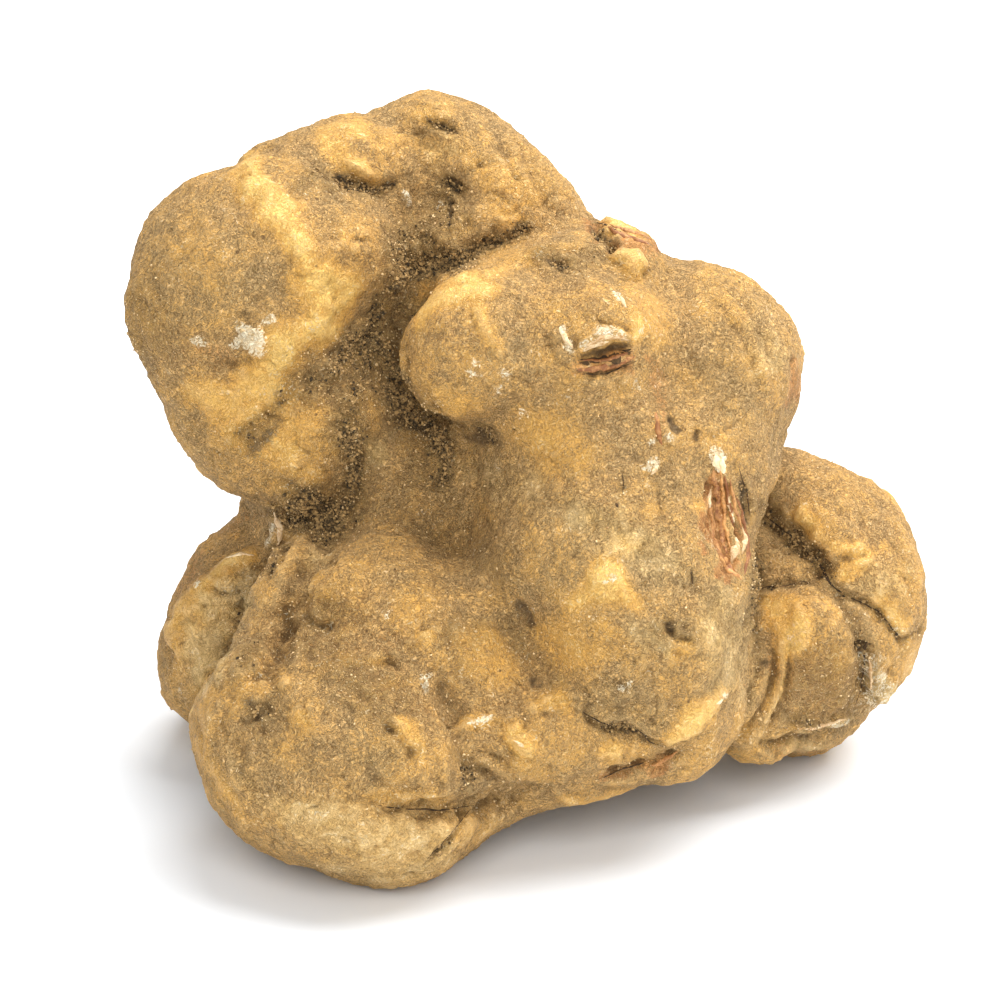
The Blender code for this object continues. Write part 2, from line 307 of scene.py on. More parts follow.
RUBBED = [
    # head: the ridge that runs down it, and the chin
    (1.7, 0.95, 0.8, [(-25.7, 34.0), (-24.6, 31.5), (-21.0, 27.0), (-20.0, 23.8)]),
    (2.7, 1.0, 0.7, [(-19.6, 23.0), (-16.8, 20.8), (-17.4, 18.0)]),
    (2.0, 0.9, 0.9, [(-17.4, 18.0), (-22.0, 14.8), (-25.0, 12.0)]),
    (2.6, 0.85, 0.8, [(-30.5, 10.6), (-26.5, 9.8), (-22.0, 11.0)]),
    (1.4, 0.7, 0.9, [(-28.0, 6.8), (-25.5, 5.6)]),
    (2.2, 0.7, 0.9, [(-24.0, 5.0), (-21.0, 6.6), (-18.6, 8.2)]),
    (0.9, 0.5, 0.9, [(-31.0, 32.2), (-28.5, 34.0), (-25.7, 34.6)]),
    (1.5, 0.45, 0.9, [(-22.0, 3.4), (-18.0, 2.2)]),
    # crown
    (1.4, 0.72, 0.8, [(-17.6, 36.6), (-16.6, 34.9), (-14.0, 33.4), (-12.2, 31.8)]),
    (1.0, 0.8, 0.8, [(-15.5, 37.8), (-14.2, 37.3), (-13.4, 36.5)]),
    (1.3, 0.65, 0.9, [(-11.5, 35.2), (-10.0, 36.4)]),
    (1.2, 0.4, 0.9, [(-8.6, 40.6), (-7.8, 39.6), (-6.9, 38.8)]),
    (1.4, 0.3, 0.9, [(-6.0, 38.9), (-3.7, 39.0)]),
    (0.7, 0.7, 0.7, [(-1.6, 37.2), (-1.3, 35.3)]),
    (1.8, 0.45, 0.9, [(-2.0, 33.2), (0.5, 31.4), (3.0, 31.6)]),
    (1.8, 0.38, 0.9, [(-8.0, 35.6), (-3.6, 34.6)]),
    (1.3, 0.55, 0.9, [(-0.5, 28.6), (2.0, 28.2)]),
    (0.8, 0.5, 0.8, [(-5.8, 26.2), (-5.0, 25.2)]),
    # knob
    (1.4, 0.85, 0.8, [(-8.4, 17.4), (-7.8, 19.2), (-6.6, 20.3), (-4.6, 21.2), (-2.0, 22.3)]),
    (1.1, 0.9, 0.7, [(-4.6, 20.8), (-2.6, 21.0), (-1.0, 20.7)]),
    (0.7, 0.55, 0.8, [(-2.0, 22.5), (1.0, 22.9)]),
    (0.9, 0.8, 0.7, [(-2.1, 19.2), (-1.8, 17.5), (-0.8, 15.8), (0.2, 14.8)]),
    (1.6, 0.5, 0.9, [(12.5, 21.5), (14.8, 19.7), (16.0, 17.0), (16.2, 15.6)]),
    (0.7, 0.9, 0.6, [(13.0, 19.4), (13.9, 17.6), (13.7, 15.8)]),
    (1.1, 0.5, 0.9, [(4.0, 15.0), (5.6, 14.0)]),
    (1.3, 0.5, 0.9, [(-7.4, 11.6), (-5.0, 10.4), (-2.5, 9.2)]),
    (1.3, 0.5, 0.9, [(1.5, 8.6), (5.0, 6.8)]),
    (1.5, 0.9, 0.5, [(12.0, 24.0), (14.0, 23.2)]),
    (0.6, 0.8, 0.6, [(10.0, 27.4), (12.4, 26.9), (14.2, 25.9)]),
    (2.2, 0.35, 0.9, [(5.0, 18.8), (9.0, 18.2)]),
    # shoulder and trunk
    (0.8, 0.5, 0.8, [(22.5, 20.0), (25.0, 17.2)]),
    (1.2, 0.35, 0.9, [(27.2, 13.5), (27.6, 11.0)]),
    (1.4, 0.75, 0.6, [(19.9, -0.4), (20.1, -1.0)]),
    (1.3, 0.6, 0.8, [(15.1, -0.9), (15.4, -1.6)]),
    # belly
    (1.5, 1.0, 0.6, [(9.8, -6.4), (10.9, -8.3), (12.4, -9.4), (13.9, -10.5)]),
    (1.0, 0.8, 0.7, [(10.9, -8.3), (8.6, -9.8), (7.0, -10.9)]),
    (1.0, 0.7, 0.7, [(11.4, -4.6), (13.6, -4.3)]),
    (1.0, 0.7, 0.7, [(10.0, -12.7), (11.3, -12.7)]),
    (2.8, 0.5, 0.9, [(5.0, -13.4), (9.6, -15.4)]),
    (3.0, 0.55, 0.9, [(3.0, 6.4), (8.0, 4.6)]),
    (1.2, 0.75, 0.6, [(17.0, -16.6), (18.3, -15.1)]),
    (0.9, 0.5, 0.8, [(19.4, -16.0), (20.2, -15.8)]),
    (1.1, 0.95, 0.5, [(17.1, -23.7), (19.7, -21.4), (22.4, -19.5)]),
    (0.7, 0.55, 0.8, [(24.2, -24.0), (25.4, -21.6)]),
    (2.6, 0.55, 0.9, [(-3.4, -14.2), (0.4, -17.4)]),
    (0.7, 0.9, 0.5, [(-4.2, -22.4), (-1.8, -22.2), (-0.6, -21.9)]),
    (1.3, 0.95, 0.5, [(1.2, -23.2), (1.8, -24.4), (2.8, -24.8)]),
    (0.7, 0.85, 0.6, [(2.9, -21.0), (4.9, -20.1)]),
    (1.5, 0.6, 0.8, [(6.4, -19.6), (6.4, -21.2)]),
    (1.2, 0.85, 0.6, [(10.9, -25.6), (11.3, -24.6)]),
    (1.3, 0.5, 0.8, [(12.9, -25.2), (14.4, -24.8)]),
    (0.5, 0.75, 0.6, [(6.0, -29.6), (10.0, -30.3), (13.4, -29.1)]),
    (1.0, 0.45, 0.9, [(3.0, -27.2), (6.0, -27.8)]),
    # foot and sole
    (1.0, 0.95, 0.6, [(-9.0, -14.3), (-7.8, -13.6), (-6.8, -13.4)]),
    (0.8, 0.9, 0.6, [(-19.2, -9.3), (-18.2, -7.8)]),
    (2.4, 0.45, 0.9, [(-9.5, -11.5), (-7.5, -9.5)]),
    (1.0, 0.8, 0.6, [(-10.0, -22.3), (-8.2, -24.2)]),
    (1.3, 0.75, 0.6, [(-20.7, -21.3), (-19.0, -23.2)]),
    (0.7, 0.7, 0.7, [(-22.0, -16.8), (-21.2, -19.2)]),
    (1.1, 0.5, 0.8, [(-22.0, -25.2), (-20.8, -24.6)]),
    (0.9, 0.5, 0.8, [(-16.0, -15.6), (-14.6, -16.4)]),
    (0.5, 0.7, 0.7, [(-13.2, -16.2), (-11.2, -15.6)]),
    (0.9, 0.5, 0.9, [(-12.0, -19.0), (-10.0, -18.2)]),
    (0.8, 0.6, 0.9, [(-29.6, -20.6), (-29.8, -24.6), (-28.0, -28.4), (-25.4, -31.6)]),
    (1.1, 0.55, 0.9, [(-13.0, -29.8), (-9.3, -30.0), (-5.0, -29.9)]),
    (1.2, 0.5, 0.9, [(-7.4, -26.6), (-5.4, -25.2)]),
    (3.6, 0.4, 0.9, [(-20.0, -31.4), (-12.0, -34.6), (-6.0, -33.6)]),
    # heel
    (0.9, 0.95, 0.7, [(-29.8, -8.8), (-27.0, -6.6), (-24.8, -5.6)]),
    (0.6, 0.8, 0.8, [(-29.8, -8.8), (-31.8, -11.0), (-32.6, -14.0), (-32.2, -16.4)]),
    # hip
    (1.2, 0.9, 0.7, [(30.4, -1.0), (31.2, -2.8), (32.6, -3.8)]),
    (0.6, 0.9, 0.5, [(32.6, -4.2), (34.2, -4.7), (36.4, -5.0)]),
    (0.8, 0.85, 0.5, [(33.8, -7.4), (35.8, -6.2), (37.2, -5.0)]),
    (1.3, 0.75, 0.6, [(37.6, -9.8), (39.2, -11.8), (40.6, -12.4)]),
    (0.7, 0.7, 0.6, [(38.6, -4.4), (39.2, -5.0)]),
    (0.9, 0.6, 0.7, [(41.4, -15.2), (40.6, -17.2)]),
    (1.5, 0.95, 0.5, [(27.2, -10.6), (29.2, -11.4), (29.7, -13.3), (30.0, -14.9)]),
    (0.7, 0.6, 0.7, [(27.0, -11.0), (26.6, -13.0)]),
    (0.6, 0.7, 0.7, [(28.3, -14.0), (28.3, -18.0), (26.8, -21.6)]),
    (1.2, 0.5, 0.8, [(38.6, -16.0), (39.4, -19.0)]),
    # places where the film is thin
    (3.2, 0.38, 0.9, [(-31.5, 25.5), (-28.5, 22.0)]),
    (2.0, 0.42, 0.9, [(-2.0, 24.6), (3.0, 24.2)]),
    (2.2, 0.42, 0.9, [(-4.5, -33.5), (-1.5, -32.6)]),
    (1.6, 0.38, 0.9, [(-27.5, -10.5), (-27.0, -13.5)]),
    (2.0, 0.5, 0.9, [(-29.0, -8.6), (-31.0, -13.0)]),
]

# Creamy skin, paler than the rubbed ochre.
CREAM = [
    (1.6, 0.9, 0.8, [(-13.2, 5.8), (-12.0, 4.4)]),
    (2.4, 0.95, 0.8, [(-29.0, -10.6), (-28.6, -13.6), (-29.6, -17.6)]),
    (2.4, 0.8, 0.8, [(-27.6, -12.0), (-25.4, -8.4)]),
    (3.4, 0.6, 0.9, [(-20.0, -31.5), (-14.0, -34.0), (-7.0, -33.0)]),
    (3.2, 0.55, 0.9, [(-16.0, -36.6), (-11.0, -37.6), (-6.0, -35.4)]),
    (1.2, 0.35, 0.9, [(-27.0, -26.0), (-23.5, -30.5), (-18.0, -34.4)]),
    (0.4, 0.5, 0.6, [(28.3, -13.8), (28.4, -17.0), (28.0, -19.4), (26.5, -22.0)]),
    (0.5, 0.5, 0.6, [(25.8, -17.0), (24.8, -21.5)]),
    (1.3, 0.9, 0.4, [(37.2, -17.2), (37.6, -18.6), (37.9, -19.6)]),
    (0.5, 0.9, 0.4, [(30.0, -23.0), (33.0, -22.4), (35.0, -21.8)]),
    (0.6, 0.8, 0.5, [(28.8, -24.8), (30.4, -24.6), (31.6, -24.3)]),
    (1.4, 0.4, 0.9, [(41.6, -19.0), (37.4, -23.0)]),
    (3.2, 0.6, 0.9, [(22.0, -10.0), (22.6, -18.0)]),
    (2.6, 0.7, 0.9, [(8.6, -1.4), (12.0, -3.0), (16.0, -6.0)]),
    (1.8, 0.55, 0.9, [(25.4, 17.4), (28.0, 13.4)]),
    (2.4, 0.5, 0.9, [(-2.0, 3.0), (4.0, 0.0)]),
    (1.6, 0.6, 0.9, [(13.0, -12.0), (16.4, -15.0)]),
    (2.0, 0.5, 0.9, [(36.0, -9.0), (40.0, -8.0)]),
    (1.6, 0.5, 0.9, [(-7.0, 35.4), (-5.0, 34.8)]),
    (1.0, 0.5, 0.8, [(-19.6, -6.6), (-16.6, -4.2)]),
]

# White scratches and torn flecks.
WHITE = [
    (0.9, 1.0, 0.4, [(-25.6, 17.0), (-24.6, 16.0), (-24.2, 14.9)]),
    (0.5, 0.9, 0.4, [(-26.8, 15.4), (-25.4, 16.4)]),
    (0.4, 0.8, 0.4, [(-24.0, 17.4), (-22.6, 18.2)]),
    (0.6, 0.7, 0.5, [(-30.4, 16.3), (-29.6, 15.7)]),
    (0.35, 0.9, 0.5, [(-3.0, 12.9), (-2.4, 12.4)]),
    (0.35, 0.9, 0.5, [(-2.5, 13.6)]),
    (0.4, 0.8, 0.5, [(0.2, 12.9), (0.9, 12.6)]),
    (0.3, 0.8, 0.5, [(0.0, 10.9)]),
    (0.3, 0.8, 0.5, [(2.0, 8.7), (2.6, 8.5)]),
    (0.35, 1.0, 0.4, [(6.2, 17.2), (6.2, 16.8)]),
    (0.35, 1.0, 0.4, [(6.6, 15.9), (7.1, 14.8)]),
    (0.3, 0.9, 0.5, [(11.6, 20.7), (12.2, 19.9)]),
    (0.35, 0.8, 0.5, [(-6.0, 29.7)]),
    (0.4, 0.8, 0.5, [(-9.7, 30.7), (-9.2, 29.8)]),
    (0.6, 0.75, 0.5, [(9.3, 15.9), (10.6, 16.9), (11.8, 16.4)]),
    (0.5, 0.6, 0.5, [(8.0, 15.4), (9.3, 15.9)]),
    (0.45, 0.9, 0.5, [(15.2, 5.9), (15.2, 5.7)]),
    (0.5, 0.9, 0.5, [(16.6, 6.5), (16.8, 6.2)]),
    (0.7, 0.9, 0.5, [(14.7, 3.3), (15.9, 3.9)]),
    (0.4, 0.7, 0.5, [(12.0, -18.6), (13.1, -18.2)]),
    (0.45, 0.9, 0.5, [(22.3, -19.7)]),
    (0.4, 0.9, 0.5, [(10.9, -8.1)]),
    (0.35, 0.8, 0.5, [(-7.7, -19.3), (-7.5, -17.7), (-6.7, -17.3)]),
    (0.4, 0.7, 0.5, [(-11.3, -11.3)]),
    (0.4, 0.7, 0.5, [(-3.3, -22.4), (-0.9, -21.8)]),
    (0.5, 0.7, 0.5, [(-22.6, -4.0), (-22.2, -2.2)]),
    (0.35, 0.8, 0.5, [(-29.8, -8.6)]),
    (0.9, 1.0, 0.3, [(21.3, 4.4), (22.0, 3.4)]),
    (1.2, 0.42, 0.5, [(37.2, -16.4), (37.8, -18.4), (37.2, -20.2)]),
    (0.4, 0.8, 0.5, [(33.0, -22.3), (34.4, -22.0)]),
]

# Red-brown stains.
STAIN = [
    (1.0, 0.75, 0.6, [(8.8, 27.6), (10.6, 25.9), (12.4, 25.4), (16.0, 25.0)]),
    (1.2, 0.7, 0.7, [(13.0, 25.7), (16.0, 25.1)]),
    (0.8, 0.5, 0.8, [(14.8, 14.2), (15.5, 12.2), (16.4, 10.0), (16.5, 8.2)]),
    (1.2, 0.35, 0.9, [(-9.4, 18.6), (-8.6, 20.4), (-6.0, 21.2)]),
    (0.9, 0.6, 0.6, [(29.5, 13.8), (29.7, 11.2), (28.6, 9.4)]),
    (1.7, 1.0, 0.25, [(21.4, -0.6), (22.2, -3.6), (22.6, -7.0)]),
    (1.0, 0.9, 0.3, [(21.6, 2.4), (22.0, -1.0)]),
    (0.8, 0.8, 0.4, [(15.0, -27.2), (16.6, -26.4)]),
    (0.5, 0.6, 0.6, [(10.2, -27.8), (13.0, -27.0), (16.6, -25.6)]),
    (1.3, 0.35, 0.9, [(-29.0, -2.6), (-25.0, -1.8)]),
    (1.6, 0.4, 0.9, [(-30.0, -6.0), (-33.0, -9.4)]),
    (1.0, 0.35, 0.9, [(-30.0, 15.0), (-26.5, 14.0)]),
    (0.8, 0.4, 0.9, [(27.6, -17.6), (27.0, -15.4)]),
    (1.2, 0.7, 0.6, [(8.0, 13.0), (13.2, 14.2)]),
    (0.9, 0.4, 0.9, [(28.0, -24.9), (33.0, -25.4)]),
    (1.6, 0.32, 0.9, [(14.0, 19.6), (15.8, 17.0)]),
    (2.2, 0.28, 0.9, [(-29.0, 10.6), (-23.0, 10.4)]),
    (1.4, 0.30, 0.9, [(28.6, -11.4), (29.8, -14.0)]),
]

# Dark spots, pits and the inside of cracks.
DARK = [
    (0.5, 0.9, 0.6, [(17.3, 8.4), (17.5, 7.2), (17.9, 6.8)]),
    (0.5, 1.0, 0.4, [(19.6, 6.6), (19.8, 6.3)]),
    (0.5, 0.75, 0.6, [(11.7, -0.4), (11.8, -0.2)]),
    (0.3, 0.55, 0.7, [(12.3, 2.9), (12.4, 1.4)]),
    (0.7, 0.8, 0.7, [(2.0, -10.4), (2.8, -11.6), (3.3, -12.4)]),
    (0.6, 0.75, 0.6, [(3.4, -18.4), (4.0, -18.6)]),
    (0.5, 0.9, 0.5, [(17.0, -12.6), (17.3, -12.9)]),
    (0.25, 0.8, 0.5, [(15.8, -10.5)]),
    (0.35, 0.5, 0.8, [(20.9, -10.4), (21.2, -11.0)]),
    (0.3, 0.7, 0.6, [(-3.9, 19.4), (-3.6, 19.2)]),
    (0.5, 0.9, 0.6, [(-4.9, 32.0), (-4.4, 31.2), (-4.6, 30.9)]),
    (0.3, 1.0, 0.5, [(-4.9, 29.7)]),
    (0.18, 0.8, 0.5, [(-4.9, 29.4), (-5.0, 27.0)]),
    (0.3, 0.9, 0.6, [(-16.4, 32.8), (-14.6, 31.6), (-13.4, 31.0)]),
    (0.25, 0.7, 0.6, [(-13.4, 31.0), (-11.8, 31.0), (-10.2, 31.8)]),
    (0.3, 0.8, 0.6, [(-7.2, 38.2), (-5.6, 37.2), (-4.2, 36.8)]),
    (0.5, 0.9, 0.6, [(11.2, 25.7), (10.8, 25.2)]),
    (0.3, 0.8, 0.6, [(9.0, 27.4), (10.4, 26.0), (11.4, 25.4)]),
    (0.3, 0.7, 0.6, [(4.8, 24.0), (6.4, 23.2)]),
    (0.5, 0.85, 0.6, [(-3.4, 6.2), (-2.2, 6.4), (-0.9, 5.8)]),
    (1.2, 0.6, 0.9, [(-10.2, 10.4), (-9.0, 8.0), (-7.6, 6.4)]),
    (1.7, 0.75, 0.8, [(-20.2, -0.4), (-17.4, -1.4), (-15.2, -0.6)]),
    (0.3, 1.0, 0.5, [(-12.8, 18.6), (-12.6, 17.8), (-13.4, 15.6)]),
    (0.8, 0.8, 0.8, [(-25.0, 4.8), (-22.0, 7.6)]),
    (0.35, 0.9, 0.5, [(7.7, 13.0), (9.0, 12.6), (10.6, 13.0), (13.2, 13.8)]),
    (0.4, 0.85, 0.5, [(8.4, 14.4), (10.8, 14.8), (13.2, 15.4)]),
    (0.2, 0.8, 0.5, [(-15.4, 19.7)]),
    (0.2, 0.7, 0.5, [(-19.0, 22.6)]),
    (0.2, 0.7, 0.5, [(-22.5, 33.0)]),
    (0.22, 0.7, 0.5, [(5.2, -21.6)]),
    (0.22, 0.7, 0.5, [(2.9, -25.1)]),
    (0.22, 0.8, 0.5, [(-3.1, -16.9)]),
    (0.25, 0.7, 0.5, [(-2.4, -20.7)]),
    (0.25, 0.7, 0.5, [(0.3, -21.4)]),
    (0.8, 0.55, 0.9, [(-5.5, -18.4), (-5.2, -20.4)]),
    (0.8, 0.6, 0.9, [(-24.8, -20.8), (-24.2, -22.0)]),
    (0.3, 0.9, 0.5, [(36.6, -14.2), (36.5, -15.6)]),
    (0.25, 0.9, 0.5, [(38.0, -12.2)]),
    (0.5, 0.85, 0.6, [(26.2, -16.2), (27.0, -16.3)]),
    (0.4, 0.8, 0.6, [(29.6, -22.2), (30.4, -22.4)]),
    (0.4, 0.7, 0.6, [(32.0, -22.8), (31.4, -23.0)]),
    (0.3, 0.9, 0.5, [(23.9, 1.8), (24.6, -0.8), (24.8, -2.2)]),
    (0.2, 0.6, 0.6, [(27.2, -9.6), (28.6, -9.6)]),
    (0.25, 0.7, 0.5, [(26.6, -7.4)]),
    (0.25, 0.7, 0.5, [(-5.0, -27.2), (-3.4, -28.4)]),
]

# Soil packed in the valleys.
SOIL = [
    (2.2, 0.55, 0.9, [(-2.0, 25.4), (-6.5, 24.6), (-11.0, 22.8)]),
    (0.9, 0.95, 0.8, [(2.3, 27.2), (-1.6, 25.6), (-4.8, 23.8), (-7.8, 23.2), (-10.8, 21.2)]),
    (1.2, 0.75, 0.9, [(-11.6, 21.0), (-12.6, 18.2), (-12.6, 15.6), (-11.0, 12.6), (-8.8, 9.8)]),
    (2.6, 0.5, 0.9, [(-9.0, 10.0), (-7.6, 6.5)]),
    (1.6, 0.4, 0.9, [(-7.6, 6.5), (-8.2, 1.6)]),
    (1.2, 0.95, 0.9, [(-10.6, 12.0), (-9.4, 9.4), (-8.2, 7.4)]),
    (1.0, 0.95, 0.8, [(-7.0, 8.4), (-5.6, 6.0), (-5.4, 3.4), (-5.9, 1.4)]),
    (2.2, 0.55, 0.9, [(-14.0, 17.0), (-17.5, 13.0), (-21.0, 9.4), (-24.0, 6.4)]),
    (1.0, 0.8, 0.8, [(-13.4, 17.6), (-15.2, 14.6), (-17.4, 12.6)]),
    (2.6, 0.6, 0.9, [(-13.0, 15.0), (-15.6, 10.0), (-14.6, 5.0)]),
    (2.4, 0.95, 0.8, [(-20.8, -0.6), (-18.0, -1.8), (-15.4, -1.6)]),
    (0.9, 1.0, 0.7, [(-15.0, 6.6), (-14.6, 3.0), (-14.6, 0.0)]),
    (2.4, 0.58, 0.9, [(-11.0, 25.0), (-8.0, 26.4), (-4.8, 28.6)]),
    (1.6, 0.6, 0.9, [(-6.4, 29.6), (-4.6, 31.6)]),
    (1.2, 0.6, 0.9, [(-17.5, 32.6), (-14.6, 31.2), (-12.0, 30.8)]),
    (0.9, 0.5, 0.9, [(-20.6, 31.0), (-18.0, 33.0)]),
    (1.2, 0.45, 0.9, [(3.5, 24.6), (7.0, 23.4), (10.4, 24.8)]),
    (2.4, 0.2, 0.9, [(-12.5, -0.5), (-6.0, -3.5)]),
    (2.8, 0.42, 0.9, [(-17.5, -15.5), (-13.5, -18.5), (-9.5, -20.5)]),
    (2.2, 0.34, 0.9, [(-11.0, -24.4), (-9.0, -21.5)]),
    (1.8, 0.25, 0.9, [(-3.4, -4.0), (1.0, -8.0)]),
    (1.2, 0.35, 0.9, [(0.6, -12.0), (3.0, -15.6), (6.0, -18.4)]),
    # These two darken the head's left side and the underside of its chin: painted shade, laid as
    # soil.
    (3.0, 0.32, 0.9, [(-36.0, 20.0), (-35.0, 14.0)]),
    (1.6, 0.5, 0.9, [(-27.0, 6.6), (-25.0, 5.6)]),
    (2.4, 0.42, 0.9, [(-4.4, -13.0), (-2.0, -15.0)]),
    (0.9, 0.6, 0.8, [(-2.0, -27.0), (-4.0, -28.6)]),
    (1.8, 0.4, 0.9, [(-16.5, -10.5), (-18.0, -13.5), (-21.0, -16.0)]),
    (1.5, 0.55, 0.8, [(-24.6, -20.6), (-23.4, -22.8)]),
    (1.0, 0.5, 0.9, [(-24.0, -14.6), (-26.0, -17.4)]),
    (1.2, 0.6, 0.8, [(26.0, -0.6), (28.6, -2.8), (31.8, -5.4), (33.4, -8.4)]),
    (1.2, 0.35, 0.9, [(35.4, -12.0), (36.2, -16.0)]),
    (3.0, 0.4, 0.9, [(30.4, -18.0), (33.6, -17.4), (34.2, -20.6)]),
    (1.1, 0.6, 0.8, [(28.6, -21.4), (31.6, -22.4)]),
    (0.7, 0.6, 0.8, [(25.4, -6.0), (25.4, -12.0), (25.9, -16.6)]),
    (1.5, 0.3, 0.9, [(8.4, -1.0), (12.0, -3.0)]),
    (0.9, 0.4, 0.8, [(16.8, -12.8), (19.6, -14.4)]),
    (2.0, 0.18, 0.7, [(10.4, -20.2), (14.8, -21.2)]),
    (1.4, 0.34, 0.8, [(14.0, -13.6), (18.4, -12.4)]),
]

# The warmth of the film: below 0 greyer, above 0 browner.
TONE = [
    (5.0, -0.5, 0.9, [(-33.0, 26.0), (-28.0, 22.0)]),
    (3.0, 0.5, 0.9, [(-33.0, 13.8), (-26.0, 13.8)]),
    (4.0, -0.6, 0.9, [(22.4, -9.0), (22.0, -19.0)]),
    (3.0, -0.8, 0.9, [(6.0, -3.0), (12.0, -5.0), (17.0, -8.0)]),
    (2.6, -0.7, 0.9, [(3.0, -8.0), (8.0, -8.0)]),
    (3.0, -0.7, 0.9, [(10.0, -19.5), (14.6, -20.5)]),
    (3.4, 0.6, 0.9, [(-22.0, -14.0), (-15.0, -11.0), (-8.0, -16.0)]),
    (3.0, 0.5, 0.9, [(-12.0, -18.0), (-5.0, -22.0)]),
    (2.6, -0.6, 0.9, [(-14.0, -24.0), (-11.0, -26.0)]),
    (3.0, 0.9, 0.9, [(30.0, -18.0), (34.0, -17.0)]),
    (3.0, 0.5, 0.9, [(-8.0, 18.5), (-3.0, 17.5)]),
    (2.4, 0.5, 0.9, [(4.0, 20.5), (9.0, 20.0)]),
    (1.5, -0.6, 0.9, [(2.0, 15.2), (2.6, 13.4)]),
    (1.5, 0.6, 0.9, [(-8.6, 15.0), (-7.6, 12.6)]),
    (3.0, 0.35, 0.9, [(-2.0, 30.0), (5.0, 28.0)]),
    (3.0, -0.4, 0.9, [(24.0, 8.0), (22.0, 14.0)]),
    (2.6, 0.5, 0.9, [(5.0, -16.0), (0.0, -20.0)]),
    (3.4, -0.3, 0.9, [(-27.0, -14.0)]),
    (3.2, 0.4, 0.9, [(36.0, 0.0), (40.0, -6.0)]),
    (2.2, 0.5, 0.9, [(-32.0, -5.0), (-34.0, -14.0)]),
]

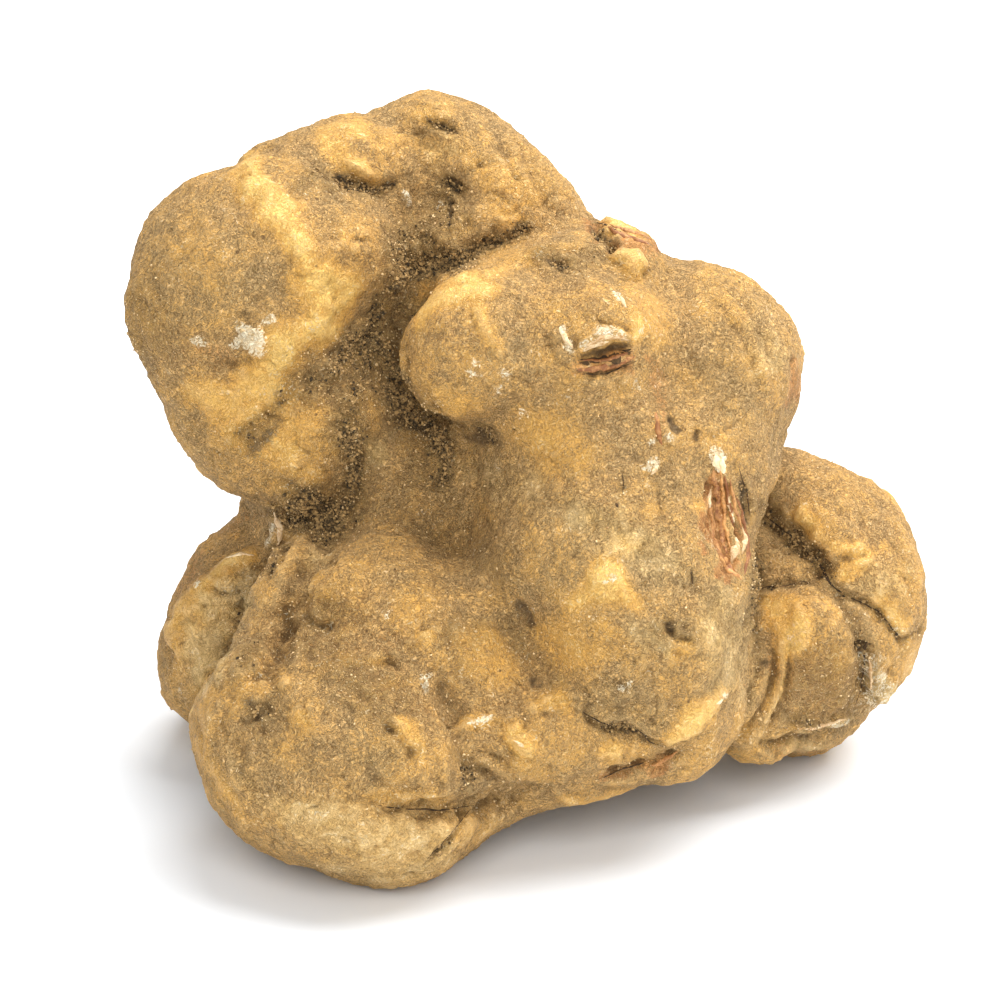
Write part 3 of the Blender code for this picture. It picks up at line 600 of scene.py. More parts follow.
# Creases: half width, depth, height of the lip on one side (above 0 is the left side, going
# along the line), how much dirt lies in it, and its line.
CREASES = [
    # head
    (0.45, 0.9, 0.0, 0.9, [(-12.6, 18.8), (-12.8, 16.8), (-13.6, 15.2)]),
    (1.2, 0.6, 0.0, 0.5, [(-27.0, 4.7), (-23.0, 8.7), (-19.0, 13.3)]),
    (0.7, 0.35, 0.0, 0.2, [(-34.0, 25.0), (-35.0, 21.0), (-35.3, 17.0)]),
    (0.5, 0.3, 0.0, 0.1, [(-36.6, 16.0), (-35.8, 12.0), (-33.8, 8.0)]),
    (0.5, 0.35, 0.1, 0.1, [(-33.6, 12.6), (-31.0, 9.0), (-29.6, 5.4), (-26.8, 2.0)]),
    (0.5, 0.3, 0.1, 0.1, [(-32.0, 12.6), (-29.4, 8.0), (-28.2, 4.6), (-25.2, 1.4)]),
    (0.45, 0.25, 0.0, 0.2, [(-31.4, 13.4), (-26.0, 13.8), (-22.0, 14.4)]),
    (0.5, 0.3, 0.0, 0.1, [(-24.0, 2.6), (-19.6, 0.6)]),
    (0.4, 0.3, 0.1, 0.15, [(-17.4, 22.6), (-16.6, 21.0), (-16.9, 19.4)]),
    (0.4, 0.25, 0.0, 0.1, [(-24.0, 36.0), (-21.0, 33.4), (-18.6, 31.6)]),
    # crown
    (0.55, 1.1, 0.35, 0.8, [(-17.2, 32.9), (-15.5, 32.0), (-14.0, 31.4), (-12.0, 31.0),
                            (-10.5, 31.7), (-9.6, 32.2)]),
    (0.8, 1.2, 0.0, 0.7, [(-3.8, 32.0), (-4.4, 31.2), (-5.0, 30.6)]),
    (0.35, 0.9, 0.0, 0.8, [(-4.9, 29.8), (-4.9, 29.5)]),
    (0.25, 0.5, 0.0, 0.5, [(-4.9, 29.4), (-5.1, 27.0)]),
    (0.45, 0.9, 0.3, 0.7, [(-7.4, 38.2), (-4.9, 37.1), (-4.1, 36.8)]),
    (0.35, 0.35, 0.1, 0.3, [(-4.0, 32.4), (-2.0, 33.7), (0.0, 34.2)]),
    (0.35, 0.3, 0.0, 0.2, [(-5.2, 31.6), (-7.4, 33.0), (-8.8, 34.8)]),
    (0.7, 0.7, 0.3, 0.2, [(1.8, 35.6), (3.7, 32.3), (4.9, 29.7), (6.2, 28.0)]),
    (0.5, 0.5, 0.15, 0.2, [(-0.8, 36.6), (1.2, 33.6), (2.6, 30.4)]),
    (0.6, 1.2, 0.0, 0.8, [(-9.6, 22.2), (-7.7, 23.4), (-4.9, 23.7), (-1.4, 25.7), (2.3, 27.1)]),
    (0.5, 0.5, 0.2, 0.5, [(-6.8, 27.2), (-6.2, 25.2), (-4.6, 24.2)]),
    (0.4, 0.4, 0.1, 0.4, [(-10.8, 27.0), (-9.0, 24.0), (-8.4, 22.4)]),
    # crest and ledge
    (0.5, 1.1, 0.4, 0.8, [(9.0, 27.5), (10.6, 26.2), (11.5, 25.5), (12.3, 25.4)]),
    (0.4, 0.55, 0.2, 0.6, [(4.4, 24.2), (6.0, 23.4), (7.8, 23.0)]),
    (0.35, 0.4, 0.1, 0.4, [(6.4, 25.2), (8.4, 24.6)]),
    (0.5, 0.4, 0.2, 0.3, [(11.0, 22.2), (13.4, 22.4), (15.2, 23.4)]),
    # knob and slot
    (0.7, 0.8, 0.0, 0.25, [(-9.6, 20.4), (-10.4, 18.0), (-10.2, 14.4), (-9.4, 12.0)]),
    (0.4, 1.0, 0.3, 0.8, [(-2.8, 7.4), (-1.3, 7.0), (-0.8, 6.0), (-0.5, 5.4)]),
    (0.6, 0.5, 0.2, 0.3, [(-9.3, 12.0), (-5.5, 8.0), (-2.5, 7.0)]),
    (0.65, 1.5, 0.5, 0.0, [(7.6, 14.1), (10.4, 14.7), (13.4, 15.5)]),
    (0.4, 0.7, -0.2, 0.0, [(7.7, 12.6), (10.4, 12.5), (13.6, 13.8)]),
    (0.3, 0.3, 0.15, 0.0, [(9.0, 18.6), (12.0, 17.4), (13.6, 16.6)]),
    (0.35, 0.25, 0.15, 0.0, [(4.4, 17.0), (5.2, 14.8), (6.6, 13.4)]),
    # trunk and belly
    (0.3, 0.5, 0.2, 0.6, [(23.8, 2.4), (24.6, -0.4), (24.9, -2.4)]),
    (0.25, 0.35, 0.0, 0.5, [(12.3, 2.9), (12.4, 0.9)]),
    (0.4, 0.4, 0.12, 0.15, [(21.0, 20.4), (24.4, 16.4), (26.2, 11.0)]),
    (0.35, 0.3, 0.1, 0.1, [(24.0, 20.6), (26.8, 16.0), (28.2, 11.6)]),
    (0.25, 0.35, 0.0, 0.5, [(19.1, -6.6), (19.3, -8.9)]),
    (0.35, 0.25, 0.1, 0.2, [(-0.9, 1.2), (1.5, 2.0), (3.7, 2.4)]),
    (0.3, 0.3, 0.0, 0.3, [(-0.3, -9.1), (0.0, -10.6)]),
    (0.4, 1.1, 0.45, 0.8, [(8.3, -21.4), (10.0, -22.5), (12.3, -22.8), (14.0, -23.1),
                           (14.7, -24.0), (16.3, -24.6)]),
    (0.3, 0.5, 0.1, 0.4, [(16.8, -12.6), (17.6, -13.9), (19.6, -14.2)]),
    (0.45, 0.7, -0.35, 0.3, [(9.7, -27.9), (12.3, -26.9), (16.6, -25.6), (19.0, -24.8)]),
    (0.45, 0.5, -0.4, 0.1, [(5.6, -28.6), (8.0, -29.3), (11.0, -29.2), (13.8, -28.2)]),
    (0.45, 0.55, 0.2, 0.3, [(-3.1, -26.3), (-0.4, -28.0), (3.0, -28.7), (6.0, -29.0)]),
    (0.4, 0.4, 0.2, 0.2, [(-1.5, -25.0), (1.2, -26.8), (5.2, -28.0)]),
    (0.4, 0.3, 0.15, 0.1, [(0.4, -24.6), (3.4, -26.4), (6.6, -27.2)]),
    # between foot and belly, and the sole's fold
    (1.0, 0.8, 0.0, 0.35, [(-6.4, -17.4), (-4.8, -21.6), (-3.8, -25.2), (-2.4, -27.6),
                           (1.0, -29.0)]),
    (0.9, 1.2, 0.6, 0.25, [(-14.4, -29.4), (-12.4, -30.3), (-9.5, -30.9), (-6.0, -31.0),
                            (-2.0, -30.5), (1.6, -29.9), (4.8, -29.4)]),
    (0.22, 0.6, 0.15, 0.5, [(-2.9, -30.9), (-4.6, -33.0), (-7.6, -36.4)]),
    (0.3, 0.3, 0.1, 0.1, [(-6.0, -33.2), (-8.8, -35.4)]),
    (0.5, 0.35, 0.2, 0.15, [(-14.0, -27.2), (-10.4, -28.6), (-6.4, -28.6)]),
    # foot
    (0.9, 1.1, 0.6, 0.25, [(-17.0, -4.6), (-19.6, -7.4), (-21.0, -11.0), (-21.4, -14.0),
                            (-22.8, -16.8), (-26.0, -19.4)]),
    (0.5, 0.5, 0.2, 0.2, [(-15.6, -4.4), (-18.0, -7.0), (-19.2, -9.6), (-19.0, -12.4)]),
    (0.5, 0.55, 0.2, 0.1, [(-28.4, -19.2), (-30.0, -22.8), (-29.4, -26.6), (-27.8, -30.2)]),
    (0.5, 0.5, 0.2, 0.1, [(-27.0, -20.8), (-28.4, -24.8), (-27.2, -28.6), (-24.8, -31.8)]),
    (0.45, 0.35, 0.15, 0.1, [(-25.6, -23.4), (-26.0, -27.0), (-22.6, -31.0)]),
    (0.4, 0.5, 0.1, 0.4, [(-20.2, -11.0), (-18.0, -12.6), (-16.0, -12.2)]),
    (0.35, 0.35, 0.15, 0.3, [(-24.8, -20.2), (-24.4, -22.0), (-22.8, -24.0)]),
    (0.35, 0.3, 0.1, 0.1, [(-23.6, -17.4), (-21.6, -20.0)]),
    (0.35, 0.35, 0.15, 0.2, [(-13.2, -16.6), (-11.2, -16.0), (-9.6, -16.8)]),
    (0.35, 0.3, 0.1, 0.2, [(-12.0, -22.0), (-9.0, -25.0), (-8.4, -27.0)]),
    (0.35, 0.3, 0.1, 0.2, [(-8.0, -19.6), (-7.0, -17.2), (-5.8, -16.6)]),
    # heel
    (0.3, 0.3, 0.1, 0.2, [(-29.6, -9.0), (-27.0, -9.2), (-24.8, -8.8)]),
    (0.7, 0.4, 0.0, 0.2, [(-33.2, -8.6), (-33.8, -13.6), (-32.8, -18.2)]),
    (0.5, 0.8, 0.3, 0.6, [(-21.2, -3.4), (-21.8, -5.4), (-23.8, -8.0)]),
    # hip
    (0.8, 1.3, 0.3, 0.6, [(25.5, -0.5), (27.2, -2.0), (29.0, -3.4), (30.7, -5.2), (32.0, -6.6),
                          (33.2, -8.5)]),
    (0.35, 0.7, 0.15, 0.6, [(33.2, -8.5), (34.2, -9.3), (36.0, -10.0), (37.5, -10.8),
                            (38.5, -12.0), (40.0, -13.8), (40.2, -15.2)]),
    (0.3, 0.45, 0.15, 0.4, [(40.2, -14.2), (42.6, -12.8)]),
    (0.4, 0.6, -0.2, 0.5, [(25.2, -8.7), (28.0, -8.5), (30.2, -8.0), (31.6, -8.2), (33.0, -9.6)]),
    (0.4, 0.8, 0.35, 0.5, [(33.0, -8.9), (35.0, -11.2), (36.2, -13.6), (36.5, -15.8),
                           (36.3, -19.2), (35.2, -21.6)]),
    (0.55, 1.0, 0.0, 0.5, [(36.7, -14.0), (36.5, -15.8)]),
    (0.35, 0.65, 0.35, 0.2, [(27.2, -13.2), (27.6, -15.7), (27.2, -19.0), (25.7, -22.0),
                             (23.7, -24.2)]),
    (0.35, 0.5, 0.3, 0.15, [(28.6, -14.0), (28.8, -16.5), (28.6, -19.2), (27.5, -22.0),
                            (26.2, -24.2)]),
    (0.35, 0.5, 0.2, 0.2, [(26.2, -15.7), (25.7, -18.2), (24.5, -21.5)]),
    (0.45, 0.9, -0.45, 0.4, [(25.2, -24.2), (27.7, -24.5), (29.7, -23.7), (32.5, -23.0),
                             (35.0, -22.2)]),
    (0.35, 0.25, 0.1, 0.1, [(33.8, -5.9), (35.6, -5.6), (37.2, -5.4)]),
    (0.4, 0.35, 0.1, 0.2, [(39.0, -3.0), (40.6, -7.0), (41.4, -11.0)]),
]

# Raised and sunken spots: half width, height, softness, and a line.
SPOTS = [
    (1.6, 0.45, 0.9, [(-25.0, 33.0), (-21.0, 27.0), (-18.4, 22.8), (-18.0, 18.0)]),
    (1.1, 0.8, 0.8, [(-17.2, 13.4)]),
    (1.0, 0.25, 0.6, [(-25.4, 16.6), (-24.2, 15.2)]),
    (1.2, 0.5, 0.9, [(-5.8, 26.2), (-5.0, 25.2)]),
    (0.6, 0.35, 0.8, [(-9.8, 30.6), (-9.2, 29.8)]),
    (1.2, 0.4, 0.9, [(-2.0, 28.4), (0.6, 27.8)]),
    (1.0, 0.35, 0.9, [(-15.4, 34.0), (-13.4, 32.8)]),
    (1.3, 0.7, 0.7, [(12.4, 24.2), (13.8, 23.4)]),
    (0.9, 0.3, 0.8, [(14.0, 25.8), (16.2, 24.8)]),
    (0.5, 0.12, 0.8, [(8.8, 28.2), (10.8, 27.9), (13.4, 27.0)]),
    (0.6, -0.9, 0.7, [(11.4, 25.5)]),
    (0.5, 0.4, 0.7, [(8.0, 15.6), (10.4, 16.4), (12.6, 16.3)]),
    (0.7, 0.3, 0.8, [(-2.2, 18.8), (-1.6, 16.8), (0.2, 14.8)]),
    (0.6, -0.35, 0.8, [(17.4, 8.2), (17.8, 6.9)]),
    (0.5, -0.35, 0.7, [(19.7, 6.5)]),
    (1.2, -0.7, 0.5, [(21.6, 1.2), (22.4, -2.0), (22.8, -6.0)]),
    (0.9, -0.12, 0.9, [(2.0, -10.4), (3.2, -12.2)]),
    (0.5, -0.2, 0.9, [(17.1, -12.7)]),
    (2.2, 0.4, 0.5, [(11.0, -19.6), (14.0, -20.6), (16.4, -21.8)]),
    (1.0, 0.45, 0.8, [(17.2, -23.6), (19.8, -21.3), (22.2, -19.6)]),
    (0.6, 0.35, 0.7, [(-4.2, -22.4), (-0.6, -21.8)]),
    (1.0, 0.4, 0.8, [(1.2, -23.4), (2.6, -24.8)]),
    (0.6, 0.3, 0.8, [(2.9, -21.0), (4.9, -20.1)]),
    (1.0, 0.35, 0.8, [(10.9, -25.4), (12.8, -25.2)]),
    (1.2, 0.35, 0.8, [(10.0, -7.4), (12.4, -9.4)]),
    (0.8, 0.3, 0.8, [(17.0, -14.4), (19.4, -14.6)]),
    (1.8, -0.2, 0.9, [(-16.6, -10.6), (-15.0, -13.0)]),
    (0.8, 0.45, 0.8, [(-19.4, -9.6), (-18.2, -7.6)]),
    (1.8, 0.6, 0.9, [(-26.8, -17.0), (-24.6, -13.0), (-23.0, -9.4), (-19.8, -5.4)]),
    (1.6, 0.4, 0.9, [(-28.6, -21.0), (-28.8, -26.0), (-25.6, -31.4)]),
    (1.4, 0.4, 0.9, [(-20.0, -14.6), (-20.6, -19.4), (-18.0, -24.0)]),
    (1.8, 0.4, 0.9, [(-12.0, -19.6), (-7.0, -22.4), (-5.4, -26.6)]),
    (2.0, 0.5, 0.9, [(-13.6, -32.6), (-8.0, -33.4), (-3.0, -32.0)]),
    (1.0, 0.3, 0.8, [(-9.0, -14.3), (-6.8, -13.4)]),
    (1.0, 0.3, 0.8, [(-20.6, -21.4), (-19.0, -23.2)]),
    (1.0, 0.35, 0.8, [(-10.2, -22.2), (-8.2, -24.2)]),
    (0.9, 0.5, 0.8, [(-25.0, -5.6), (-29.8, -8.8), (-31.8, -11.2), (-32.7, -14.0)]),
    (2.2, -0.45, 0.9, [(-26.4, -10.6), (-26.8, -15.0)]),
    (0.7, 0.6, 0.6, [(-22.6, -1.6), (-21.6, -3.0), (-22.4, -4.6)]),
    (2.0, 0.5, 0.9, [(31.4, -1.4), (33.0, -3.0)]),
    (0.6, 0.22, 0.9, [(32.8, -4.4), (36.6, -5.0)]),
    (0.6, 0.22, 0.9, [(33.8, -7.6), (37.0, -5.8)]),
    (1.1, 0.5, 0.6, [(37.8, -16.8), (38.0, -19.2)]),
    (1.0, 0.4, 0.6, [(29.6, -11.0), (30.4, -14.4)]),
    (0.5, 0.5, 0.7, [(30.0, -23.2), (33.0, -22.4), (35.0, -21.6)]),
]


# ---------------------------------------------------------------- the fine skin

FINE_VOXEL = 0.37
SKIN_TRIANGLES = 196000

ON_FLOOR = 0.02  # points lower than this stay on the floor
FLOOR_BLEND = 1.2  # the relief fades out over this height above the floor

SIGHT_SLACK = 0.9  # how far behind the first thing met a point may lie and still be in sight

# The noise that makes lines waver, and how far they do: a share of the half width, and the most.
WARP_SIZE, WARP_SEEDS, WARP_GAIN = 2.2, (47, 53, 59), 1.6
STROKE_DRIFT, CREASE_DRIFT = (0.75, 1.1), (0.6, 0.5)

# A stroke's half width at its ends, what its middle has on top of that, how uneven its width and
# strength are, and how far past its edge it may waver.
END_WIDTH, MORE_WIDTH = 0.55, 0.45
UNEVEN_WIDTH, UNEVEN_STRENGTH = 0.35, 0.25
MEAN_STRENGTH = 0.9
STROKE_MARGIN = 1.2

# A crease: how wide its cut is, in shares of its half width, then, in shares of that cut, how far
# off its lip stands and how wide the lip is. It fades at its ends, over a share of its length, to
# this much, and has the rest on top of that in the middle.
CUT_WIDTH = 1.2
LIP_AWAY, LIP_WIDTH = 1.9, 1.3
FADE_LENGTH = 0.25
END_DEPTH, MORE_DEPTH = 0.15, 0.85
UNEVEN_DEPTH = 0.5

# The relief's heights and depths.
LARGE_SWELL, MIDDLE_SWELL, SMALL_SWELL = 0.22, 0.42, 0.34
FURROW_DEPTH, WRINKLE_DEPTH, DOT_DEPTH = 0.24, 0.20, 0.30
GRAIN, COARSE_PEBBLE, FINE_PEBBLE = 0.17, 0.40, 0.34
RUBBED_HEIGHT, WHITE_HEIGHT, STAIN_DEPTH = 0.06, 0.08, 0.10
SPOT_GAIN = 1.3

CREAMY = (4.0, 14.0)  # the heights between which the skin gets less creamy


def laid(strokes, board):
    """The strokes' strength at each place: the strongest of those that reach it."""
    total = np.zeros(len(board[0]))
    for width, strength, softness, line in strokes:
        reach = width * (1 + softness) + STROKE_MARGIN
        near, uneven, distance, share, _ = near_line(line, width, STROKE_DRIFT, reach, board)
        here = width * (END_WIDTH + MORE_WIDTH * tapered(share, end=0.02))
        here = here * (1 + UNEVEN_WIDTH * uneven)
        edge = here * softness
        value = strength * (1 - smooth(here - edge, here + edge, distance))
        value = value * (MEAN_STRENGTH + UNEVEN_STRENGTH * uneven)
        stronger = np.abs(value) > np.abs(total[near])
        total[near[stronger]] = value[stronger]
    return total


def creased(board):
    """The height of the creases and their lips, and the dirt in them."""
    height = np.zeros(len(board[0]))
    dirt = np.zeros(len(board[0]))
    for width, depth, lip, dirty, line in CREASES:
        reach = 4 * width + 1.0
        near, uneven, distance, share, side = near_line(line, width, CREASE_DRIFT, reach, board)
        fade = smooth(0.0, FADE_LENGTH, share) * smooth(0.0, FADE_LENGTH, 1 - share)
        fade = (END_DEPTH + MORE_DEPTH * fade) * (1 + UNEVEN_DEPTH * uneven)
        wide = CUT_WIDTH * width
        cut = np.exp(-((distance / wide) ** 2)) * fade
        away = distance * side * np.sign(lip)
        raised = np.exp(-(((away - LIP_AWAY * wide) / (LIP_WIDTH * wide)) ** 2)) * fade
        height[near] += abs(lip) * raised - depth * cut
        dirt[near] = np.maximum(dirt[near], dirty * cut)
    return height, dirt


def shelter(mesh, rays=64, lift=0.3, lean=1.05, reach=22.0, fade=30.0):
    """How closed in each point of the solid is: 0 out in the open, 1 deep in a crease. Rays that
    lean outwards start a little above it, and a near hit counts for more than a far one."""
    tree = surface(mesh)
    ways = chance.normal(size=(rays, 3))
    ways /= np.linalg.norm(ways, axis=1, keepdims=True)
    out = normals(mesh)
    found = np.zeros(len(mesh.vertices))
    for index, vertex in enumerate(mesh.vertices):
        start = vertex.co / MM + Vector(out[index]) * lift
        hits = 0.0
        for way in ways + out[index] * lean:
            distance = tree.ray_cast(start, Vector(way).normalized(), reach)[3]
            if distance is not None:
                hits += 1 - distance / fade
        found[index] = hits / rays
    return found


def seen_from_front(points, tree):
    """Where each point stands on the board as seen from the front, and whether it is in sight."""
    away = points - board_middle
    across, up, out = away @ board_across, away @ board_up, away @ board_out
    start = Vector(eye)
    sight = np.zeros(len(points))
    for index, point in enumerate(points):
        to = Vector(point - eye)
        hit = tree.ray_cast(start, to.normalized())[3]
        if hit is None or hit > to.length - SIGHT_SLACK:
            sight[index] = 1.0
    scale = EYE_DISTANCE / (EYE_DISTANCE - out)
    return across * scale, up * scale, sight


def relief(points, large, middle, small, soil, rubbed):
    """The height of the relief all over: pebbly in the film and soil, smooth on the flesh."""
    grit = np.clip(0.5 + 1.0 * soil - 0.35 * rubbed, 0.15, 1.5)
    furrow = np.abs(layered(points, size=5.5, seed=89, octaves=2))
    wrinkle = np.abs(layered(points * (1.0, 1.0, 1.6), size=3.0, seed=107, octaves=2))
    height = LARGE_SWELL * large + MIDDLE_SWELL * middle + SMALL_SWELL * small * (0.35 + grit)
    height -= FURROW_DEPTH * (1 - smooth(0.0, 0.10, furrow)) * smooth(-0.3, 0.4, large)
    height -= WRINKLE_DEPTH * (1 - smooth(0.0, 0.12, wrinkle)) * smooth(-0.2, 0.5, middle)
    height += GRAIN * noise(points, size=1.1, seed=97) * grit
    coarse, fine = pebbles(points, size=2.0, seed=101), pebbles(points, size=1.2, seed=103)
    return height + (COARSE_PEBBLE * coarse * soil + FINE_PEBBLE * fine * soil)


def skin_layers(points, out, ends, sheltered, tree):
    """Each layer's amount at each point, and the height of its fine relief."""
    across, up, sight = seen_from_front(points, tree)
    facing = out @ board_out
    sight = relaxed(sight * smooth(-0.15, 0.15, facing), ends, rounds=4)
    shown = smooth(0.2, 0.8, sight)
    hidden = 1 - shown
    board = across, up, [layered(points, WARP_SIZE, seed) * WARP_GAIN for seed in WARP_SEEDS]

    def front(strokes):
        return laid(strokes, board) * shown

    broad = relaxed(points, ends, rounds=160, share=0.6)
    raised = relaxed(((points - broad) * out).sum(axis=1), ends, rounds=3)
    large = layered(points, size=9.0, seed=11)
    middle = layered(points, size=3.6, seed=23)
    small = layered(points, size=1.5, seed=31)

    # Rubbed: along its strokes, thinly all over, and on what stands out where it is out of sight.
    rubbed_here = 1.3 * relaxed(front(RUBBED), ends, rounds=12)
    shed = smooth(0.1, 0.6, raised + 0.35 * large + 0.15 * middle)
    thin = 0.15 + 0.30 * layered(points, size=3.0, seed=37) + 0.24 * small
    rubbed = np.maximum(rubbed_here * (1 + 0.12 * small), thin + 0.2 * shed)
    rubbed = np.maximum(rubbed, hidden * 0.95 * shed * smooth(-0.15, 0.35, middle + 0.5 * small))

    # Soil: in sheltered hollows, along its strokes and in the creases. In the sheltered hollows it is
    # soil and also painted shade: the more closed in, the more of it and the darker.
    deep = smooth(0.44, 0.72, sheltered + 0.05 * middle)
    hollow_dirt_and_shade = smooth(0.05, 0.55, -raised + 0.15 * middle)
    soil = np.maximum(deep, 0.5 * hollow_dirt_and_shade * smooth(0.25, 0.5, sheltered))
    packed = relaxed(front(SOIL), ends, rounds=4)
    soil = np.maximum(0.70 * soil, packed) * (1 - 0.75 * smooth(0.35, 0.85, rubbed_here))
    folds, dirt = creased(board)
    in_sight = shown * smooth(0.0, 0.3, facing)
    soil = np.maximum(soil, dirt * in_sight)
    soil = np.maximum(soil, hidden * 0.5 * smooth(0.35, 0.8, middle + 0.4 * large) * hollow_dirt_and_shade)
    rubbed = rubbed * (1 - 0.9 * smooth(0.45, 0.9, soil))

    # Other marks: along their strokes, and here and there where they are out of sight.
    cream = np.maximum(front(CREAM), hidden * 0.6 * smooth(0.3, 0.8, large + 0.3 * middle))
    low = 1 - smooth(*CREAMY, points[:, 2])
    cream = np.maximum(cream, 0.35 * low * smooth(-0.3, 0.5, middle))
    white = np.maximum(front(WHITE), hidden * smooth(0.72, 0.9, small) * smooth(0.1, 0.5, middle))
    blotches = smooth(0.55, 0.85, layered(points, size=4.2, seed=61))
    stain = np.maximum(front(STAIN), hidden * 0.7 * blotches)
    crowded = 0.97 + 0.06 * layered(points, size=7.0, seed=73)
    dots = smooth(0.90, 1.0, pebbles(points, size=4.4, seed=71) * crowded)
    dark = np.maximum(front(DARK), dots * 0.8 * (1 - 0.6 * sight))
    tone = front(TONE) + 0.45 * layered(points, size=7.0, seed=83) + 0.25 * middle

    height = relief(points, large, middle, small, soil, rubbed)
    height += (folds + SPOT_GAIN * front(SPOTS)) * in_sight
    height -= DOT_DEPTH * dots * (1 - sight)
    height += RUBBED_HEIGHT * rubbed + WHITE_HEIGHT * white - STAIN_DEPTH * stain
    layers = {
        "rubbed": rubbed, "soil": soil, "cream": cream, "white": white, "stain": stain,
        "dark": dark, "tone": tone, "pit": relaxed(height, ends, rounds=7) - height,
    }
    return layers, height


def fine_copy(solid):
    """The solid's mesh as an even fine net, with its facets smoothed away."""
    bare = solid.copy()
    bare.materials.clear()
    net = made_with(bare, "skin_net", "REMESH", mode="VOXEL", voxel_size=FINE_VOXEL * MM)
    points = positions(net)
    soft = relaxed(points, edge_ends(net), rounds=10)
    soft[points[:, 2] < ON_FLOOR, 2] = 0.0
    soft[:, 2] = np.maximum(soft[:, 2], 0.0)
    put(net, soft)
    return net


def make_skin():
    """The skin over the solid, with its layers and its relief."""
    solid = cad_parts[NODE].data
    net = fine_copy(solid)
    points, out = positions(net), normals(net)
    sheltered = carried(positions(solid), shelter(solid), points)
    layers, height = skin_layers(points, out, edge_ends(net), sheltered, surface(solid))
    for name, values in layers.items():
        add_layer(net, name, values)
    moved = points + out * (height * smooth(0.0, FLOOR_BLEND, points[:, 2]))[:, None]
    moved[:, 2] = np.maximum(moved[:, 2], 0.0)
    put(net, moved)
    triangles = sum(len(p.vertices) - 2 for p in net.polygons)
    mesh = made_with(net, "skin", "DECIMATE", ratio=min(1.0, SKIN_TRIANGLES / triangles))
    mesh.materials.append(skin_material())
    shade_smooth(mesh)
    return placed("truffle_skin", mesh)


# ---------------------------------------------------------------- colours

# Display colours, 0 to 255, each from dark to light.
SHADES = {
    "flesh": ((215, 161, 76), (247, 203, 114)),
    "cream": ((208, 168, 97), (240, 204, 139)),
    "dark film": ((159, 124, 70), (161, 118, 62)),  # greyish, then warm
    "light film": ((227, 192, 139), (231, 188, 128)),  # greyish, then warm
    "stain": ((166, 100, 48), (216, 154, 88)),
    # used where the soil is thickest, which is where the solid is most closed in: soil and painted
    # shade
    "deep soil": ((46, 34, 14), (100, 76, 38)),
    "thin soil": ((122, 93, 48), (190, 152, 90)),
    "white": ((240, 206, 152), (255, 240, 206)),
    "dark": ((60, 46, 32), (112, 90, 60)),
    "soil_crumb": ((54, 42, 22), (184, 148, 94)),
    "sand_grain": ((168, 128, 74), (240, 208, 152)),
    "fibre": ((130, 78, 35), (220, 162, 94)),
    "flake": ((176, 130, 74), (244, 220, 176)),
    "crack": ((50, 36, 19), (108, 80, 45)),
}

# How much of what lies under it a mark covers, and its display colour.
TINTS = {
    "flesh line": (0.22, (170, 118, 58)),
    "film line": (0.50, (118, 88, 48)),
    "glint": (0.42, (250, 218, 154)),
    # darkens the hollows of the relief: dirt and painted shade
    "hollow_dirt_and_shade": (0.62, (106, 76, 34)),
    # lightens the tops of the relief: wear and a painted highlight
    "top": (0.35, (236, 194, 128)),
    "pit": (0.70, (84, 58, 34)),
}


def paint(colour):
    """A display colour as the linear colour that a shader takes."""
    made = []
    for value in colour:
        value /= 255
        made.append(value / 12.92 if value <= 0.04045 else ((value + 0.055) / 1.055) ** 2.4)
    return (*made, 1.0)


class Shading:
    """A material's nodes, made and joined by short calls."""

    def __init__(self, name):
        self.material = bpy.data.materials.new(name)
        self.material.use_nodes = True
        self.tree = self.material.node_tree
        self.tree.nodes.clear()
        self.shader = self.add("BsdfPrincipled")
        self.fill(self.add("OutputMaterial"), Surface=self.shader.outputs[0])

    def add(self, kind, **settings):
        node = self.tree.nodes.new("ShaderNode" + kind)
        for key, value in settings.items():
            setattr(node, key, value)
        return node

    def give(self, socket, value):
        """Joins the value to the socket, or sets it there where it is a constant."""
        if isinstance(value, bpy.types.NodeSocket):
            self.tree.links.new(value, socket)
        else:
            socket.default_value = value

    def fill(self, node, **values):
        """Gives values to the node's sockets, which are named with _ for a space."""
        for key, value in values.items():
            self.give(node.inputs[key.replace("_", " ")], value)
        return node

    def math(self, operation, *values):
        node = self.add("Math", operation=operation)
        for socket, value in zip(node.inputs, values):
            self.give(socket, value)
        return node.outputs[0]

    def times(self, value, factor):
        return self.math("MULTIPLY", value, factor)

    def minus(self, value, less):
        return self.math("SUBTRACT", value, less)

    def step(self, value, low, high, to_low=0.0, to_high=1.0):
        """to_low below low, to_high above high, and soft between."""
        node = self.add("MapRange", interpolation_type="SMOOTHSTEP")
        self.fill(node, Value=value, From_Min=low, From_Max=high, To_Min=to_low, To_Max=to_high)
        return node.outputs[0]

    def mix(self, share, first, second):
        node = self.add("Mix", data_type="RGBA", clamp_factor=True)
        for socket, value in ((0, share), (6, first), (7, second)):
            self.give(node.inputs[socket], value)
        return node.outputs[2]

    def shades(self, share, name):
        """From the dark one to the light one of a pair."""
        dark, light = SHADES[name]
        return self.mix(share, paint(dark), paint(light))

    def tinted(self, colour, amount, name):
        """The colour with a mark on it, as strong as its amount says."""
        strength, tint = TINTS[name]
        return self.mix(self.times(amount, strength), colour, paint(tint))

    def layer(self, name):
        return self.add("Attribute", attribute_name=name).outputs["Fac"]

    def places(self):
        """The piece's own coordinates, in millimetres."""
        coordinates = self.add("TexCoord").outputs["Object"]
        return self.fill(
            self.add("VectorMath", operation="SCALE"), Vector=coordinates, Scale=1 / MM
        ).outputs[0]

    def noise(self, places, size, detail, roughness, distortion):
        node = self.fill(
            self.add("TexNoise"), Vector=places, Scale=1 / size, Detail=detail,
            Roughness=roughness, Distortion=distortion,
        )
        return node.outputs["Fac"]


